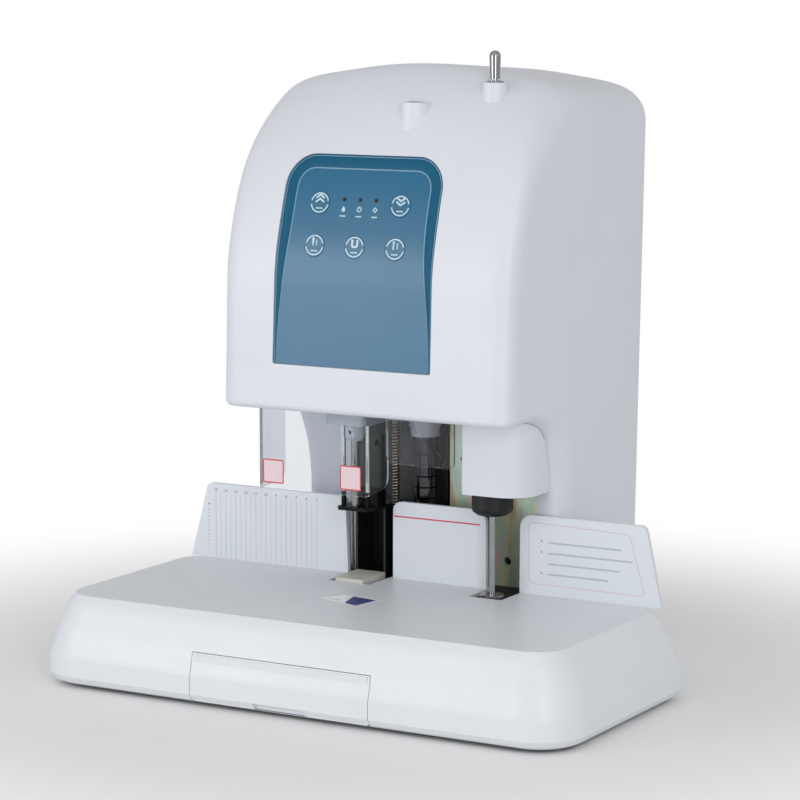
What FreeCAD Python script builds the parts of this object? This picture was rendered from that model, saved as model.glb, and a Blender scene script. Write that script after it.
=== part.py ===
import FreeCAD, Part
import math
import os

os.makedirs("parts", exist_ok=True)
V = FreeCAD.Vector

# ---------------------------------------------------------------- driving dimensions, mm
# Frame: X to the right, Y to the back, Z up, origin on the floor under the middle of the machine.
base_half = 237.7          # half width of the base at its crease
base_front = -177.6        # front of the base at its crease
wing_back = 31.0           # back edge of the wide part of the table
table_z = 73.0             # height of the table
foot_h = 3.0
crease_z = 28.0
base_draft = 18.8          # how far the table edge lies inside the crease
plan_r = 38.5              # corner radius of the base in plan
wall = 3.0                 # moulded wall
fit = 0.2                  # seat clearance between separate parts
slide_fit = 0.6            # clearance round the drawer
screw_in = 32.7            # how far the plate screws lie inside the crease

body_half = 131.8          # half width of column and hood
back_low = 163.0           # back of the column at table height
back_high = 176.3          # back of the hood at its top
eave_z = 219.0             # underside of the hood
hood_front = -62.4         # front of the hood at the eave
front_lean = 3.7           # how far the front face leans back below the curve
curve_z = 321.0            # where the front starts to curve back
side_top_z = 450.7         # top edge of the flat side face
crown_rise = 41.3          # crown of the roof above that edge
side_in = 18.1             # side face edge behind the front face
corner_w = 20.0            # width of the rounding between front and side
roof_fall = 0.052          # slope of the roof towards the back
rim_y = 41.0               # front of the column at its outer edge
rim_bulge = 9.8            # how far the column front stands out between its edges
throat_r = 66.0            # depth of the curve between column and eave
throat_h = 82.0            # height of that curve
throat_round = 13.0        # rounding of the throat's side edges
left_back = 36.0           # how far the left part of the column's front lies behind the right part
bay_l = -79.0              # left edge of the wide opening in the column's front
eave_round = 7.0           # rounding of the eave at the sides
flat_half = 77.2           # half width of the gently crowned middle of the roof
lip_r = 5.0                # rounding of the lower front edge

work_y = 4.0               # line of the drill and rivet axes
drill_x = -43.5
rivet_x = 83.0
fence_y = 25.5             # front face of the back fences
fence_t = 4.0
fence_h = 64.0

# panel
panel_l = -81.2
panel_r = 62.3
panel_low = 256.5
panel_high = 422.2
panel_round = 25.0
panel_depth = 2.5        # depth of the recess for the panel
panel_face = 1.2         # how far the panel lies below the hood surface
panel_back = 6.0         # thickness of the hood front behind the keys
key_r = 8.8
key_press = 0.4

# drill
bit_r = 3.1
bit_bore = 2.1
bit_tip_z = 130.4
drill_stroke = 53.6
post_r = 3.6
post_x = -66.0
post_y = 42.0
spring_x = -27.0
screw_x = -5.0
screw_y = 52.0
screw_r = 9.0
run = 0.05                 # radial clearance of running fits

# rivet
head_r = 16.5
head_low = 139.0
rivet_stroke = 62.0
pin_r = 2.5

# front-to-roof curve: share of depth, share of height at the side edge, share of height in the middle
HOOD_CURVE = ((0.085, 0.333, 0.31), (0.28, 0.634, 0.67), (0.52, 0.82, 0.87), (0.78, 0.959, 0.983))
THROAT_CURVE = ((0.033, 0.244), (0.09, 0.45), (0.174, 0.61), (0.283, 0.77), (0.442, 0.88), (0.627, 0.95))
SIDE_STEPS = (28.0, 42.0, 55.0, 66.0, 75.0, 83.0, 90.0)


# ---------------------------------------------------------------- small helpers
def box(x0, x1, y0, y1, z0, z1):
    # block between two opposite corners, given in any order
    return Part.makeBox(abs(x1 - x0), abs(y1 - y0), abs(z1 - z0), V(min(x0, x1), min(y0, y1), min(z0, z1)))


def cyl(x, y, z0, z1, r, axis=V(0, 0, 1)):
    return Part.makeCylinder(r, z1 - z0, V(x, y, z0), axis)


def rod_y(x, z, y0, y1, r):
    return Part.makeCylinder(r, y1 - y0, V(x, y0, z), V(0, 1, 0))


def rod_x(y, z, x0, x1, r):
    return Part.makeCylinder(r, x1 - x0, V(x0, y, z), V(1, 0, 0))


def fuse(shapes):
    return shapes[0].multiFuse(shapes[1:]).removeSplitter()


def save(name, shape):
    shape.exportStep("parts/" + name + ".step")
    print(name, len(shape.Solids), round(shape.Volume / 1000.0, 1), "cm3")


def outline(points, radii):
    # closed outline through points with a rounded corner of its own radius at each point
    n = len(points)
    starts = []
    ends = []
    mids = []
    for i in range(n):
        p = V(*points[i])
        a = (V(*points[i - 1]) - p).normalize()
        b = (V(*points[(i + 1) % n]) - p).normalize()
        half = a.getAngle(b) / 2.0
        r = radii[i]
        if r <= 0:
            starts.append(p)
            ends.append(p)
            mids.append(None)
            continue
        cut = r / math.tan(half)
        mid = p + (a + b).normalize() * (r / math.sin(half) - r)
        starts.append(p + a * cut)
        ends.append(p + b * cut)
        mids.append(mid)
    edges = []
    for i in range(n):
        if mids[i] is not None:
            edges.append(Part.Arc(starts[i], mids[i], ends[i]).toShape())
        nxt = starts[(i + 1) % n]
        if (nxt - ends[i]).Length > 1e-6:
            edges.append(Part.makeLine(ends[i], nxt))
    return Part.Wire(edges)


def prism(points, radii, direction):
    return Part.Face(outline(points, radii)).extrude(direction)


def plate_xz(x0, x1, z0, z1, y0, y1, radii):
    pts = [(x0, y0, z0), (x1, y0, z0), (x1, y0, z1), (x0, y0, z1)]
    return prism(pts, radii, V(0, y1 - y0, 0))


def plate_xy(x0, x1, y0, y1, z0, z1, r):
    pts = [(x0, y0, z0), (x1, y0, z0), (x1, y1, z0), (x0, y1, z0)]
    radii = r if isinstance(r, (list, tuple)) else [r] * 4
    return prism(pts, radii, V(0, 0, z1 - z0))


# ---------------------------------------------------------------- base
BASE_PROFILE = ((0.0, 9.0), (2.4, 3.5), (7.4, 0.0), (22.0, 0.0), (34.0, 3.4), (45.5, 6.6),
                (54.5, 10.4), (62.0, 13.2), (67.0, 16.4), (70.0, 18.8))


def base_outline(z, inset, half, front, back, r):
    pts = [(-half + inset, front + inset, z), (half - inset, front + inset, z),
           (half - inset, back - inset, z), (-half + inset, back - inset, z)]
    return outline(pts, r)


def base_levels():
    span = table_z - foot_h
    return [(foot_h + h * span / 70.0, d * base_draft / 18.8) for h, d in BASE_PROFILE]


def base_body(inset):
    # stepped loft: every level is the same rounded outline drawn in by the side profile
    back = wing_back + base_draft
    wires = []
    tail = []
    for z, d in base_levels():
        k = d + inset
        front_r = plan_r - k + 7.0 * max(0.0, z - 25.0) / 48.0
        r = [front_r, front_r, 24.0 - inset, 24.0 - inset]
        wires.append(base_outline(z, k, base_half, base_front, back, r))
        t = 0.3 * d + inset
        rt = [1.0, 1.0, 12.0 - inset, 12.0 - inset]
        tail.append(base_outline(z, t, body_half + 4.7, 0.0, back_low + 4.7, rt))
    lower = Part.makeLoft(wires[:4], True, True)
    upper = Part.makeLoft(wires[3:], True, False)
    rear = Part.makeLoft([tail[0], tail[2]], True, True)
    rear2 = Part.makeLoft([tail[2], tail[-1]], True, True)
    return fuse([lower, upper, rear, rear2])


drawer_l = -85.0
drawer_r = 74.5
drawer_top = 43.0
drawer_back = 22.0
drawer_low = foot_h + 2.3


def base_hollow():
    # room inside the base: a block that follows the walls and stops under the table
    back = wing_back + base_draft
    top = table_z - wall
    keep = base_draft + wall
    low = base_outline(foot_h - 1.0, 8.0 + wall, base_half, base_front, back,
                       [plan_r - 6, plan_r - 6, 18.0, 18.0])
    mid = base_outline(crease_z, wall + 1.0, base_half, base_front, back,
                       [plan_r - 4, plan_r - 4, 20.0, 20.0])
    high = base_outline(top, keep, base_half, base_front, back,
                        [plan_r - 8, plan_r - 8, 14.0, 14.0])
    front = fuse([Part.makeLoft([low, mid], True, True), Part.makeLoft([mid, high], True, True)])
    rear = box(-body_half + wall, body_half - wall, 0.0, back_low - wall, foot_h - 1.0, top)
    return fuse([front, rear])


def wing_screws():
    wide = base_half - screw_in
    narrow = body_half - 21.8
    front = base_front + screw_in + 15.0
    return [(s * x, y) for x, y in ((wide, front), (wide, wing_back - 21.0), (narrow, back_low - 18.0))
            for s in (-1, 1)]


def foot_places():
    wide = base_half - screw_in - 10.0
    narrow = body_half - 26.8
    return ((-wide, base_front + 67.6), (wide, base_front + 67.6), (-narrow, back_low - 43.0),
            (narrow, back_low - 43.0))


def drill_slot(z0, z1, grow=0.0):
    return box(-62.5 - grow, -24.0 + grow, -8.0 - grow, 60.0, z0, z1)


def rivet_slot(z0, z1, grow=0.0):
    return box(68.0 - grow, 97.5 + grow, -8.0 - grow, 60.0, z0, z1)


def frame_hole(z0, z1):
    return box(-82.0, 120.0, fence_y + fence_t + 4.5, 125.0, z0, z1)


def build_base():
    shell = base_body(0.0).cut(base_hollow())
    for x, y in wing_screws():
        shell = shell.fuse(cyl(x, y, foot_h + 2.0 + fit, table_z - 1.0, 6.0))
        shell = shell.cut(cyl(x, y, foot_h, foot_h + 14.0, 1.6))
    shell = shell.cut(drill_slot(60.0, table_z + 1.0))
    shell = shell.cut(rivet_slot(60.0, table_z + 1.0))
    shell = shell.cut(frame_hole(60.0, table_z + 1.0))
    # drawer mouth in the front wall, with runners on both sides of it
    mouth = box(drawer_l - slide_fit, drawer_r + slide_fit, base_front - 5.0, base_front + 30.0,
                foot_h + 1.7, drawer_top + slide_fit)
    shell = shell.cut(mouth)
    for x0 in (drawer_l - 1.0, drawer_r - 1.4):
        guide = box(x0, x0 + 2.4, base_front + 18.0, -20.0, foot_h + 5.0, table_z - 1.0)
        shell = shell.fuse(guide)
    return shell.removeSplitter()


def build_base_plate():
    back = wing_back + base_draft
    front = plate_xy(-base_half + 11.6, base_half - 11.6, base_front + 11.6, back - 11.6,
                     foot_h, foot_h + 2.0, [30.0, 30.0, 15.0, 15.0])
    rear = box(-body_half + wall + 1.0, body_half - wall - 1.0, 0.0, back_low - wall - 1.0, foot_h, foot_h + 2.0)
    plate = fuse([front, rear])
    for x, y in wing_screws():
        plate = plate.cut(cyl(x, y, foot_h - 1, foot_h + 3, 1.9))
    # stiffening beads pressed into the sheet
    for y in (-60.0, -30.0):
        bead = base_half - screw_in - 25.0
        plate = plate.cut(box(-bead, bead, y - 3.0, y + 3.0, foot_h - 1.0, foot_h + 0.8))
    return plate


def build_plate_screws():
    parts = []
    for x, y in wing_screws():
        head = cyl(x, y, foot_h - 1.6, foot_h - fit / 2, 3.4)
        shank = cyl(x, y, foot_h - fit / 2, foot_h + 12.0, 1.55)
        cross = box(x - 2.2, x + 2.2, y - 0.4, y + 0.4, foot_h - 1.7, foot_h - 0.9)
        parts.append(head.fuse(shank).cut(cross).removeSplitter())
    return Part.makeCompound(parts)


def build_foot(x, y):
    pad = Part.makeCone(9.5, 11.0, foot_h, V(x, y, 0.0))
    groove = cyl(x, y, -0.1, 0.8, 7.2).cut(cyl(x, y, -0.2, 0.9, 5.8))
    return pad.cut(groove)


def build_drawer():
    # front that continues the base surface, tray behind it, ribs along the upper edges as runners
    face = base_body(0.0).common(box(drawer_l, drawer_r, base_front - 5.0, base_front + 14.0,
                                     foot_h + 3.0, drawer_top))
    face = face.cut(base_body(2.6).common(box(drawer_l - 1, drawer_r + 1, base_front, base_front + 16.0,
                                              0.0, table_z)))
    y0 = base_front + 3.2
    tray = box(drawer_l + 2.0, drawer_r - 2.0, y0, drawer_back, drawer_low, drawer_top - 1.0)
    room = box(drawer_l + 4.0, drawer_r - 4.0, y0 + 2.2, drawer_back - 2.0, drawer_low + 2.0, drawer_top)
    tray = tray.cut(room)
    low = box(drawer_l + 2.0, drawer_r - 2.0, base_front + 1.0, y0 + 2.2, foot_h + 3.0, drawer_top - 8.0)
    low = low.common(base_body(0.8))
    # finger grip under the front
    grip = Part.makeCylinder(7.0, 46.0, V(-28.0, base_front - 1.0, foot_h + 0.5), V(1, 0, 0))
    return fuse([face, tray, low]).cut(grip)


# ---------------------------------------------------------------- bed and frame
bed_z = 60.0
bed_t = 8.0
frame_top_z = 400.0
chute_l = -59.0
chute_r = -31.2


def build_bed():
    bed = plate_xy(-77.0, 115.0, -12.0, 118.0, bed_z, bed_z + bed_t, 4.0)
    slit = box(chute_l - 0.4, chute_r + 0.4, 30.8, 58.4, bed_z - 1.0, bed_z + bed_t + 1.0)
    bed = bed.cut(slit)
    bed = bed.cut(cyl(post_x, post_y, bed_z - 1, bed_z + bed_t + 1, post_r))
    bed = bed.cut(cyl(spring_x, post_y, bed_z - 1, bed_z + bed_t + 1, 2.0))
    bed = bed.cut(cyl(screw_x, screw_y, bed_z + 2.0, bed_z + bed_t + 1, 11.0))
    bed = bed.cut(cyl(57.0, 45.0, bed_z - 1, bed_z + bed_t + 1, 6.0))
    bed = bed.cut(cyl(rivet_x, work_y, bed_z + 2.0, bed_z + bed_t + 1, 7.0))
    return bed


def spacer_places():
    return ((-68.0, 100.0), (-68.0, 66.0), (104.0, 66.0), (104.0, 104.0))


def build_spacers():
    parts = []
    for x, y in spacer_places():
        parts.append(cyl(x, y, foot_h + 2.0, bed_z, 6.0))
    return Part.makeCompound(parts)


def build_drill_frame():
    plate = box(-74.0, 8.0, 66.0, 69.0, bed_z + bed_t, frame_top_z)
    foot = box(-74.0, 8.0, 69.0, 84.0, bed_z + bed_t, bed_z + bed_t + 3.0)
    flange = box(-77.0, -74.0, 66.0, 90.0, bed_z + bed_t, frame_top_z)
    plate = fuse([plate, foot, flange])
    for z in (112.0, 176.0):
        plate = plate.cut(rod_y(-60.0, z, 60.0, 75.0, 3.0))
    return plate


def build_rivet_frame():
    x0 = 12.0
    x1 = 114.0
    plate = box(x0, x1, 63.0, 66.0, bed_z + bed_t, frame_top_z)
    foot = box(x0, x1, 66.0, 84.0, bed_z + bed_t, bed_z + bed_t + 3.0)
    flange = box(x1 - 3.0, x1, 44.0, 63.0, bed_z + bed_t, frame_top_z - 160.0)
    plate = fuse([plate, foot, flange])
    plate = plate.cut(rod_y(65.5, 89.0, 60.0, 70.0, 3.4))
    plate = plate.cut(rod_y(96.0, 120.0, 60.0, 70.0, 3.4))
    for z in (170.0, 300.0):
        plate = plate.cut(rod_y(24.0, z, 60.0, 70.0, 2.4))
    return plate


def build_frame_top():
    top = plate_xy(-77.0, 114.0, -19.0, 92.0, frame_top_z, frame_top_z + 4.0, 5.0)
    top = top.cut(cyl(screw_x, screw_y, frame_top_z - 1, frame_top_z + 5, 5.0 + run))
    top = top.cut(cyl(post_x, post_y, frame_top_z - 1, frame_top_z + 5, post_r))
    top = top.cut(cyl(spring_x, post_y, frame_top_z - 1, frame_top_z + 5, 2.0))
    top = top.cut(cyl(57.0, 45.0, frame_top_z - 1, frame_top_z + 5, 6.0))
    top = top.cut(cyl(drill_x, work_y, frame_top_z - 1, frame_top_z + 5, 14.0))
    return top


def build_post(x, y, r):
    return cyl(x, y, bed_z, frame_top_z + 4.0, r)


def build_chute():
    # black channel behind the pad, open to the front, that leads the paper chips down to the drawer
    top = 132.0
    outer = box(chute_l, chute_r, 31.2, 58.0, bed_z - 12.0, top)
    inner = box(chute_l + 1.6, chute_r - 1.6, 30.0, 56.4, bed_z - 13.0, top + 1.0)
    rest = box(chute_l - 2.0, chute_r + 1.0, 58.0, 60.0, bed_z + bed_t, bed_z + bed_t + 10.0)
    back = box(chute_l, chute_r, 57.0, 59.0, bed_z + bed_t, bed_z + bed_t + 10.0)
    return fuse([outer.cut(inner), rest, back])


def build_pad():
    pad = plate_xy(-57.0, -30.0, -7.6, 30.0, bed_z + bed_t, table_z + 3.0, [3.0, 1.0, 1.0, 1.0])
    ring = cyl(drill_x, work_y, table_z + 2.4, table_z + 4.0, 4.0).cut(
        cyl(drill_x, work_y, table_z + 2.0, table_z + 4.0, 3.4))
    return pad.cut(ring)


def build_anvil():
    z0 = bed_z + 2.0
    prof = [V(0, 0, z0), V(7.0, 0, z0), V(7.0, 0, bed_z + bed_t), V(10.0, 0, bed_z + bed_t),
            V(10.0, 0, table_z + 0.6), V(9.2, 0, table_z + 1.4), V(0, 0, table_z + 1.4), V(0, 0, z0)]
    body = Part.Face(Part.makePolygon(prof)).revolve(V(0, 0, 0), V(0, 0, 1), 360)
    body.translate(V(rivet_x, work_y, 0))
    cup = Part.makeCone(3.7, 5.1, 0.8, V(rivet_x, work_y, table_z + 0.6))
    cup = cup.cut(Part.makeCone(4.0, 3.4, 0.8, V(rivet_x, work_y, table_z + 0.6)))
    hole = cyl(rivet_x, work_y, table_z - 8.0, table_z + 2.0, pin_r)
    return body.cut(cup).cut(hole)


def build_guide_pin():
    z1 = head_low + 6.0
    body = cyl(rivet_x, work_y, table_z - 8.0, z1 - 1.5, pin_r)
    tip = Part.makeCone(pin_r, 1.2, 1.5, V(rivet_x, work_y, z1 - 1.5))
    return body.fuse(tip).removeSplitter()


# ---------------------------------------------------------------- fences
def fence(x0b, x0t, x1t, x1b, r0, r1):
    z0 = table_z
    z1 = table_z + fence_h
    pts = [(x0b, fence_y, z0), (x1b, fence_y, z0), (x1t, fence_y, z1), (x0t, fence_y, z1)]
    return prism(pts, [0, 0, r1, r0], V(0, fence_t, 0))


# ---------------------------------------------------------------- body shell
def fall_off(t, power):
    # 1 at t = 0, 0 at t = 1, along a superellipse
    return max(0.0, 1.0 - min(1.0, max(0.0, t)) ** power) ** (1.0 / power)


def weights(x):
    # share of the front offset, and height of the roof above the side's top edge, at distance x
    a = abs(x)
    front = fall_off((a - body_half + corner_w) / corner_w, 2.7)
    edge = 0.835 * crown_rise
    drop = crown_rise - edge
    if a <= flat_half:
        return front, edge + drop * (1.0 - (a / flat_half) ** 2)
    t = min(1.0, (a - flat_half) / (body_half - flat_half))
    slope = 2.0 * drop * (body_half - flat_half) / flat_half
    return front, edge * fall_off(t, 2.16) - slope * t * (1.0 - t) ** 2


def edge_round(x, r):
    # how far an edge with rounding r lies back at distance x: 0 inside, r at the side faces
    return r - r * fall_off((abs(x) - body_half + r) / r, 2.0)


def left_share(x):
    # 0 at the right part of the column's front, 1 at its left part, a smooth step between them
    t = min(1.0, max(0.0, 0.5 - x / (2.0 * flat_half)))
    return t * t * (3.0 - 2.0 * t)


def back_at(z):
    return back_low + (back_high - back_low) * (z - table_z) / (side_top_z - table_z)


def roof_curve(x, inset, x_real):
    # curve from the straight front up over the roof, in the plane x_real
    front, top = weights(x)
    y0 = hood_front + side_in * (1.0 - front) + inset + front_lean
    share = top / crown_rise
    y1 = 46.4 + 8.7 * share
    z1 = side_top_z + top - inset
    points = [V(x_real, y0, curve_z)]
    for u, side, middle in HOOD_CURVE:
        v = side + (middle - side) * share
        points.append(V(x_real, y0 + u * (y1 - y0), curve_z + v * (z1 - curve_z)))
    points.append(V(x_real, y1, z1))
    curve = Part.BSplineCurve()
    curve.interpolate(points, InitialTangent=V(0, front_lean, curve_z - eave_z),
                      FinalTangent=V(0, 1, -roof_fall))
    return curve


def eave_at(x, inset):
    return eave_z + inset + edge_round(x, eave_round)


def throat_line(x, inset, x_real):
    # curve from the front of the column up to the underside of the hood
    front, top = weights(x)
    share = left_share(x)
    rim = rim_y - rim_bulge * front + edge_round(x, throat_round) + left_back * share + inset
    z0 = eave_z - throat_h + inset
    height = eave_at(x, inset) - z0
    points = [V(x_real, rim, z0)]
    for h, v in THROAT_CURVE:
        points.append(V(x_real, rim - throat_r * h ** (1.5 - 0.5 * share), z0 + v * height))
    points.append(V(x_real, rim - throat_r, z0 + height))
    curve = Part.BSplineCurve()
    curve.interpolate(points, InitialTangent=V(0, 0, 1), FinalTangent=V(0, -1, 0))
    return curve


def body_wire(x, inset, x_real, low, back_extra, chords):
    # closed side profile at distance x; with chords, its two curves are runs of straight lines
    front, top = weights(x)
    yf = hood_front + side_in * (1.0 - front) + inset
    z_eave = eave_at(x, inset)
    roof = roof_curve(x, inset, x_real)
    throat = throat_line(x, inset, x_real)
    a = roof.StartPoint
    b = roof.EndPoint
    y_end = back_at(b.z) - inset + back_extra
    c = V(x_real, y_end, b.z - roof_fall * (y_end - b.y))
    d = V(x_real, back_at(low) - inset + back_extra, low)
    e = V(x_real, throat.StartPoint.y, low)
    r = max(0.8, lip_r - inset)
    p0 = V(x_real, yf + r, z_eave)
    p1 = V(x_real, yf + 0.27 * r, z_eave + 0.27 * r)
    p2 = V(x_real, yf + front_lean * r / (curve_z - eave_z), z_eave + r)
    if chords:
        points = [p0, p2] + roof.discretize(Number=7) + [c, d, e] + throat.discretize(Number=6) + [p0]
        return Part.makePolygon(points)
    edges = [Part.Arc(p0, p1, p2).toShape(), Part.makeLine(p2, a), roof.toShape(), Part.makeLine(b, c),
             Part.makeLine(c, d), Part.makeLine(d, e), Part.makeLine(e, throat.StartPoint), throat.toShape(),
             Part.makeLine(throat.EndPoint, p0)]
    return Part.Wire(edges)


def body_solid(inset=0.0, low=table_z, back_extra=0.0, chords=False):
    # loft through side profiles from the left side face to the right one; chords give a plainer inner form
    k = (body_half - inset) / body_half
    span = body_half - flat_half
    steps = (30.0, 60.0, 90.0) if chords else SIDE_STEPS
    xs = [flat_half + span * math.sin(math.radians(s)) for s in steps]
    values = [-x for x in reversed(xs)] + [-flat_half, -flat_half / 2, 0.0, flat_half / 2, flat_half] + xs
    wires = [body_wire(x, inset, x * k, low, back_extra, chords) for x in values]
    return Part.makeLoft(wires, True, chords)


def panel_prism(grow=0.0):
    x0 = panel_l - grow
    x1 = panel_r + grow
    z0 = panel_low - grow
    z1 = panel_high + grow
    r = panel_round + grow
    y0 = hood_front - 20.0
    pts = [(x0, y0, z0), (x1, y0, z0), (x1, y0, z1), (x0 + 1.5, y0, z1)]
    return prism(pts, [2.0, 2.0, r, r], V(0, 80.0, 0))


key_mid = (panel_l + panel_r) / 2 - 0.2
key_step = 36.6
key_row_1 = 384.7
key_row_2 = 351.5
led_row = 388.2
led_step = 14.4
key_board_depth = 10.5


def key_places():
    return (("key_up", key_mid - key_step, key_row_1), ("key_down", key_mid + key_step, key_row_1),
            ("key_drill", key_mid - key_step, key_row_2), ("key_power", key_mid, key_row_2),
            ("key_rivet", key_mid + key_step, key_row_2))


def led_places():
    return [(key_mid + k * led_step, led_row) for k in (-1, 0, 1)]


def board_feet():
    return [(key_mid + dx, z) for dx in (-51.0, 51.0) for z in (344.0, 393.0)]


def front_normal(z):
    # point and outward normal of the front surface in the middle of the hood at height z
    if z <= curve_z:
        y = hood_front + front_lean * (z - eave_z) / (curve_z - eave_z)
        return V(0, y, z), V(0, eave_z - curve_z, front_lean).normalize()
    curve = roof_curve(0.0, 0.0, 0.0)
    low = curve.FirstParameter
    high = curve.LastParameter
    for step in range(40):
        mid = (low + high) / 2.0
        if curve.value(mid).z < z:
            low = mid
        else:
            high = mid
    along = curve.tangent(low)[0]
    return curve.value(low), V(0, -along.z, along.y).normalize()


def key_cut(x, z, r, depth, out=3.0):
    p, n = front_normal(z)
    start = V(x, p.y, p.z) + n * out
    return Part.makeCylinder(r, depth + out, start, n * -1.0)


boss_l = (20.0, -9.0, 463.6, 10.8)
boss_r = (78.5, 13.5, 479.4, 9.4)


def boss(x, y, z, r):
    # blunt round boss that grows out of the sloping roof
    return Part.makeCone(r + 4.0, r, 30.0, V(x, y, z - 30.0))


def throat_openings():
    # wide opening in the front of the column, and two openings in the underside of the hood
    back = rim_y + left_back + 12.0
    return [box(bay_l, 108.0, -5.0, back, table_z - 1.0, eave_z - 16.0),
            box(bay_l, 62.0, -32.0, back, eave_z - 40.0, eave_z + 12.0),
            box(64.0, 104.0, -14.0, back, eave_z - 40.0, eave_z + 12.0)]


def beside_openings():
    # the body with a little air round it, less its openings: what guards and shroud are trimmed with
    block = body_solid(-0.3).common(box(-150.0, 150.0, -80.0, 80.0, 100.0, eave_z + 0.2))
    return block.cut(throat_openings())


def build_body():
    outer = body_solid()
    bosses = [boss(*boss_l), boss(*boss_r)]
    outer = outer.fuse(bosses)
    inner = body_solid(wall, table_z - 20.0, 30.0, True)
    shell = outer.cut(inner)
    shell = shell.common(box(-200, 200, -200, 300, table_z, 600))
    # opening of the throat: the front of the column is open behind the fences, the roof of the throat
    # is open over the drill and the rivet head
    for opening in throat_openings():
        shell = shell.cut(opening)
    # thicker hood front behind the keys, then the recess of the control panel
    pad = box(key_mid - 55.0, key_mid + 55.0, hood_front - 5.0, 10.0, 335.0, 402.0)
    shell = shell.fuse(pad.common(body_solid(wall - 0.1)).cut(body_solid(panel_back)))
    recess = panel_prism(0.4).common(body_solid(0.0)).cut(body_solid(panel_depth))
    shell = shell.cut(recess)
    for name, x, z in key_places():
        shell = shell.cut(key_cut(x, z, key_r + 0.3, panel_depth + 1.1))
        shell = shell.cut(key_cut(x, z, 2.55, panel_back + 2.0))
    for x, z in led_places():
        shell = shell.cut(key_cut(x, z, 1.6, panel_back + 2.0))
    pegs = [key_peg(x, z, 2.4, wall + 1.0, key_board_depth + 4.0) for x, z in board_feet()]
    shell = shell.fuse(fuse(pegs[:1] + pegs[1:]).cut(key_board_slab(0.2, 12.0)))
    # toggle hole through the right boss
    shell = shell.cut(cyl(boss_r[0], boss_r[1], boss_r[2] - 24.0, boss_r[2] + 1.0, 6.0))
    # seats of the back cover and post bosses of the main board
    for side in (-1, 1):
        for z in (100.0, 250.0, 420.0):
            x = side * (body_half - wall)
            y1 = back_at(z) - 4.2
            lug = box(min(x, x - side * 9.0) - 0.5, max(x, x - side * 9.0) + 0.5, y1 - 14.0, y1, z - 6.0, z + 6.0)
            lug = lug.cut(rod_y(x - side * 5.0, z, y1 - 10.0, y1 + 1.0, 1.5))
            shell = shell.fuse(lug)
    for y, z in board_posts():
        shell = shell.fuse(rod_x(y, z, -body_half + wall - 0.5, -body_half + wall + 6.0, 3.0))
    return shell.removeSplitter()


def board_posts():
    return ((82.0, 215.0), (140.0, 215.0), (82.0, 325.0), (140.0, 325.0))


def back_slab(y_in, y_out):
    z0 = table_z + 0.3
    z1 = 560.0
    pts = [(-140.0, back_at(z0) - y_in, z0), (-140.0, back_at(z0) - y_out, z0),
           (-140.0, back_at(z1) - y_out, z1), (-140.0, back_at(z1) - y_in, z1)]
    return prism(pts, [0, 0, 0, 0], V(280.0, 0, 0))


def build_rear_cover():
    cover = body_solid(wall + 0.3, table_z + 0.3, 30.0, True).common(back_slab(4.0, 1.5))
    for row in range(9):
        z = 330.0 + row * 9.0
        for x0 in (-90.0, 20.0):
            slot = box(x0, x0 + 70.0, 100.0, 220.0, z, z + 3.6)
            cover = cover.cut(slot)
    for row in range(5):
        z = 190.0 + row * 9.0
        cover = cover.cut(box(-35.0, 35.0, 100.0, 220.0, z, z + 3.6))
    for side in (-1, 1):
        for z in (100.0, 250.0, 420.0):
            cover = cover.cut(rod_y(side * (body_half - wall - 5.0), z, 120.0, 220.0, 1.9))
    cover = cover.cut(box(inlet_x - 14.0, inlet_x + 14.0, 120.0, 220.0, inlet_z - 10.0, inlet_z + 10.0))
    return cover


inlet_x = -70.0
inlet_z = 112.0


def build_cover_screws():
    parts = []
    for side in (-1, 1):
        for z in (100.0, 250.0, 420.0):
            x = side * (body_half - wall - 5.0)
            y = back_at(z) - 1.4
            head = rod_y(x, z, y, y + 1.3, 3.3)
            shank = rod_y(x, z, y - 12.0, y, 1.45)
            cross = box(x - 2.2, x + 2.2, y + 0.6, y + 1.4, z - 0.4, z + 0.4)
            parts.append(head.fuse(shank).cut(cross).removeSplitter())
    return Part.makeCompound(parts)


def build_inlet():
    y = back_at(inlet_z) - 1.3
    flange = plate_xz(inlet_x - 17.0, inlet_x + 17.0, inlet_z - 12.5, inlet_z + 12.5, y, y + 1.2, [3.0] * 4)
    body = box(inlet_x - 13.6, inlet_x + 13.6, y - 20.0, y, inlet_z - 9.6, inlet_z + 9.6)
    well = plate_xz(inlet_x - 11.8, inlet_x + 11.8, inlet_z - 7.8, inlet_z + 7.8, y - 15.0, y + 2.0,
                    [1.0, 1.0, 5.0, 5.0])
    pins = [box(inlet_x + dx - 1.0, inlet_x + dx + 1.0, y - 16.0, y - 3.0, inlet_z + dz - 2.0, inlet_z + dz + 2.0)
            for dx, dz in ((-6.0, -1.0), (0.0, 1.8), (6.0, -1.0))]
    inlet = fuse([flange, body]).cut(well)
    for pin in pins:
        inlet = inlet.fuse(pin)
    lean = math.degrees(math.atan2(back_high - back_low, side_top_z - table_z))
    inlet.rotate(V(inlet_x, y, inlet_z), V(1, 0, 0), -lean)
    return inlet.removeSplitter()


def build_throat_panel():
    # lining behind the left part of the column's front, up to the side of the drill frame
    y = rim_y - rim_bulge + left_back + wall + 0.3
    face = box(bay_l - 26.0, -77.3, y, y + 2.0, 142.0, eave_z - 22.0)
    return face.common(body_solid(wall + 0.3, table_z, 0.0, True))


# ---------------------------------------------------------------- panel, keys, lights
def key_peg(x, z, r, d0, d1):
    # round peg square to the front surface, from depth d0 to depth d1
    p, n = front_normal(z)
    return Part.makeCylinder(r, d1 - d0, V(x, p.y, p.z) - n * d0, n * -1.0)


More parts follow.
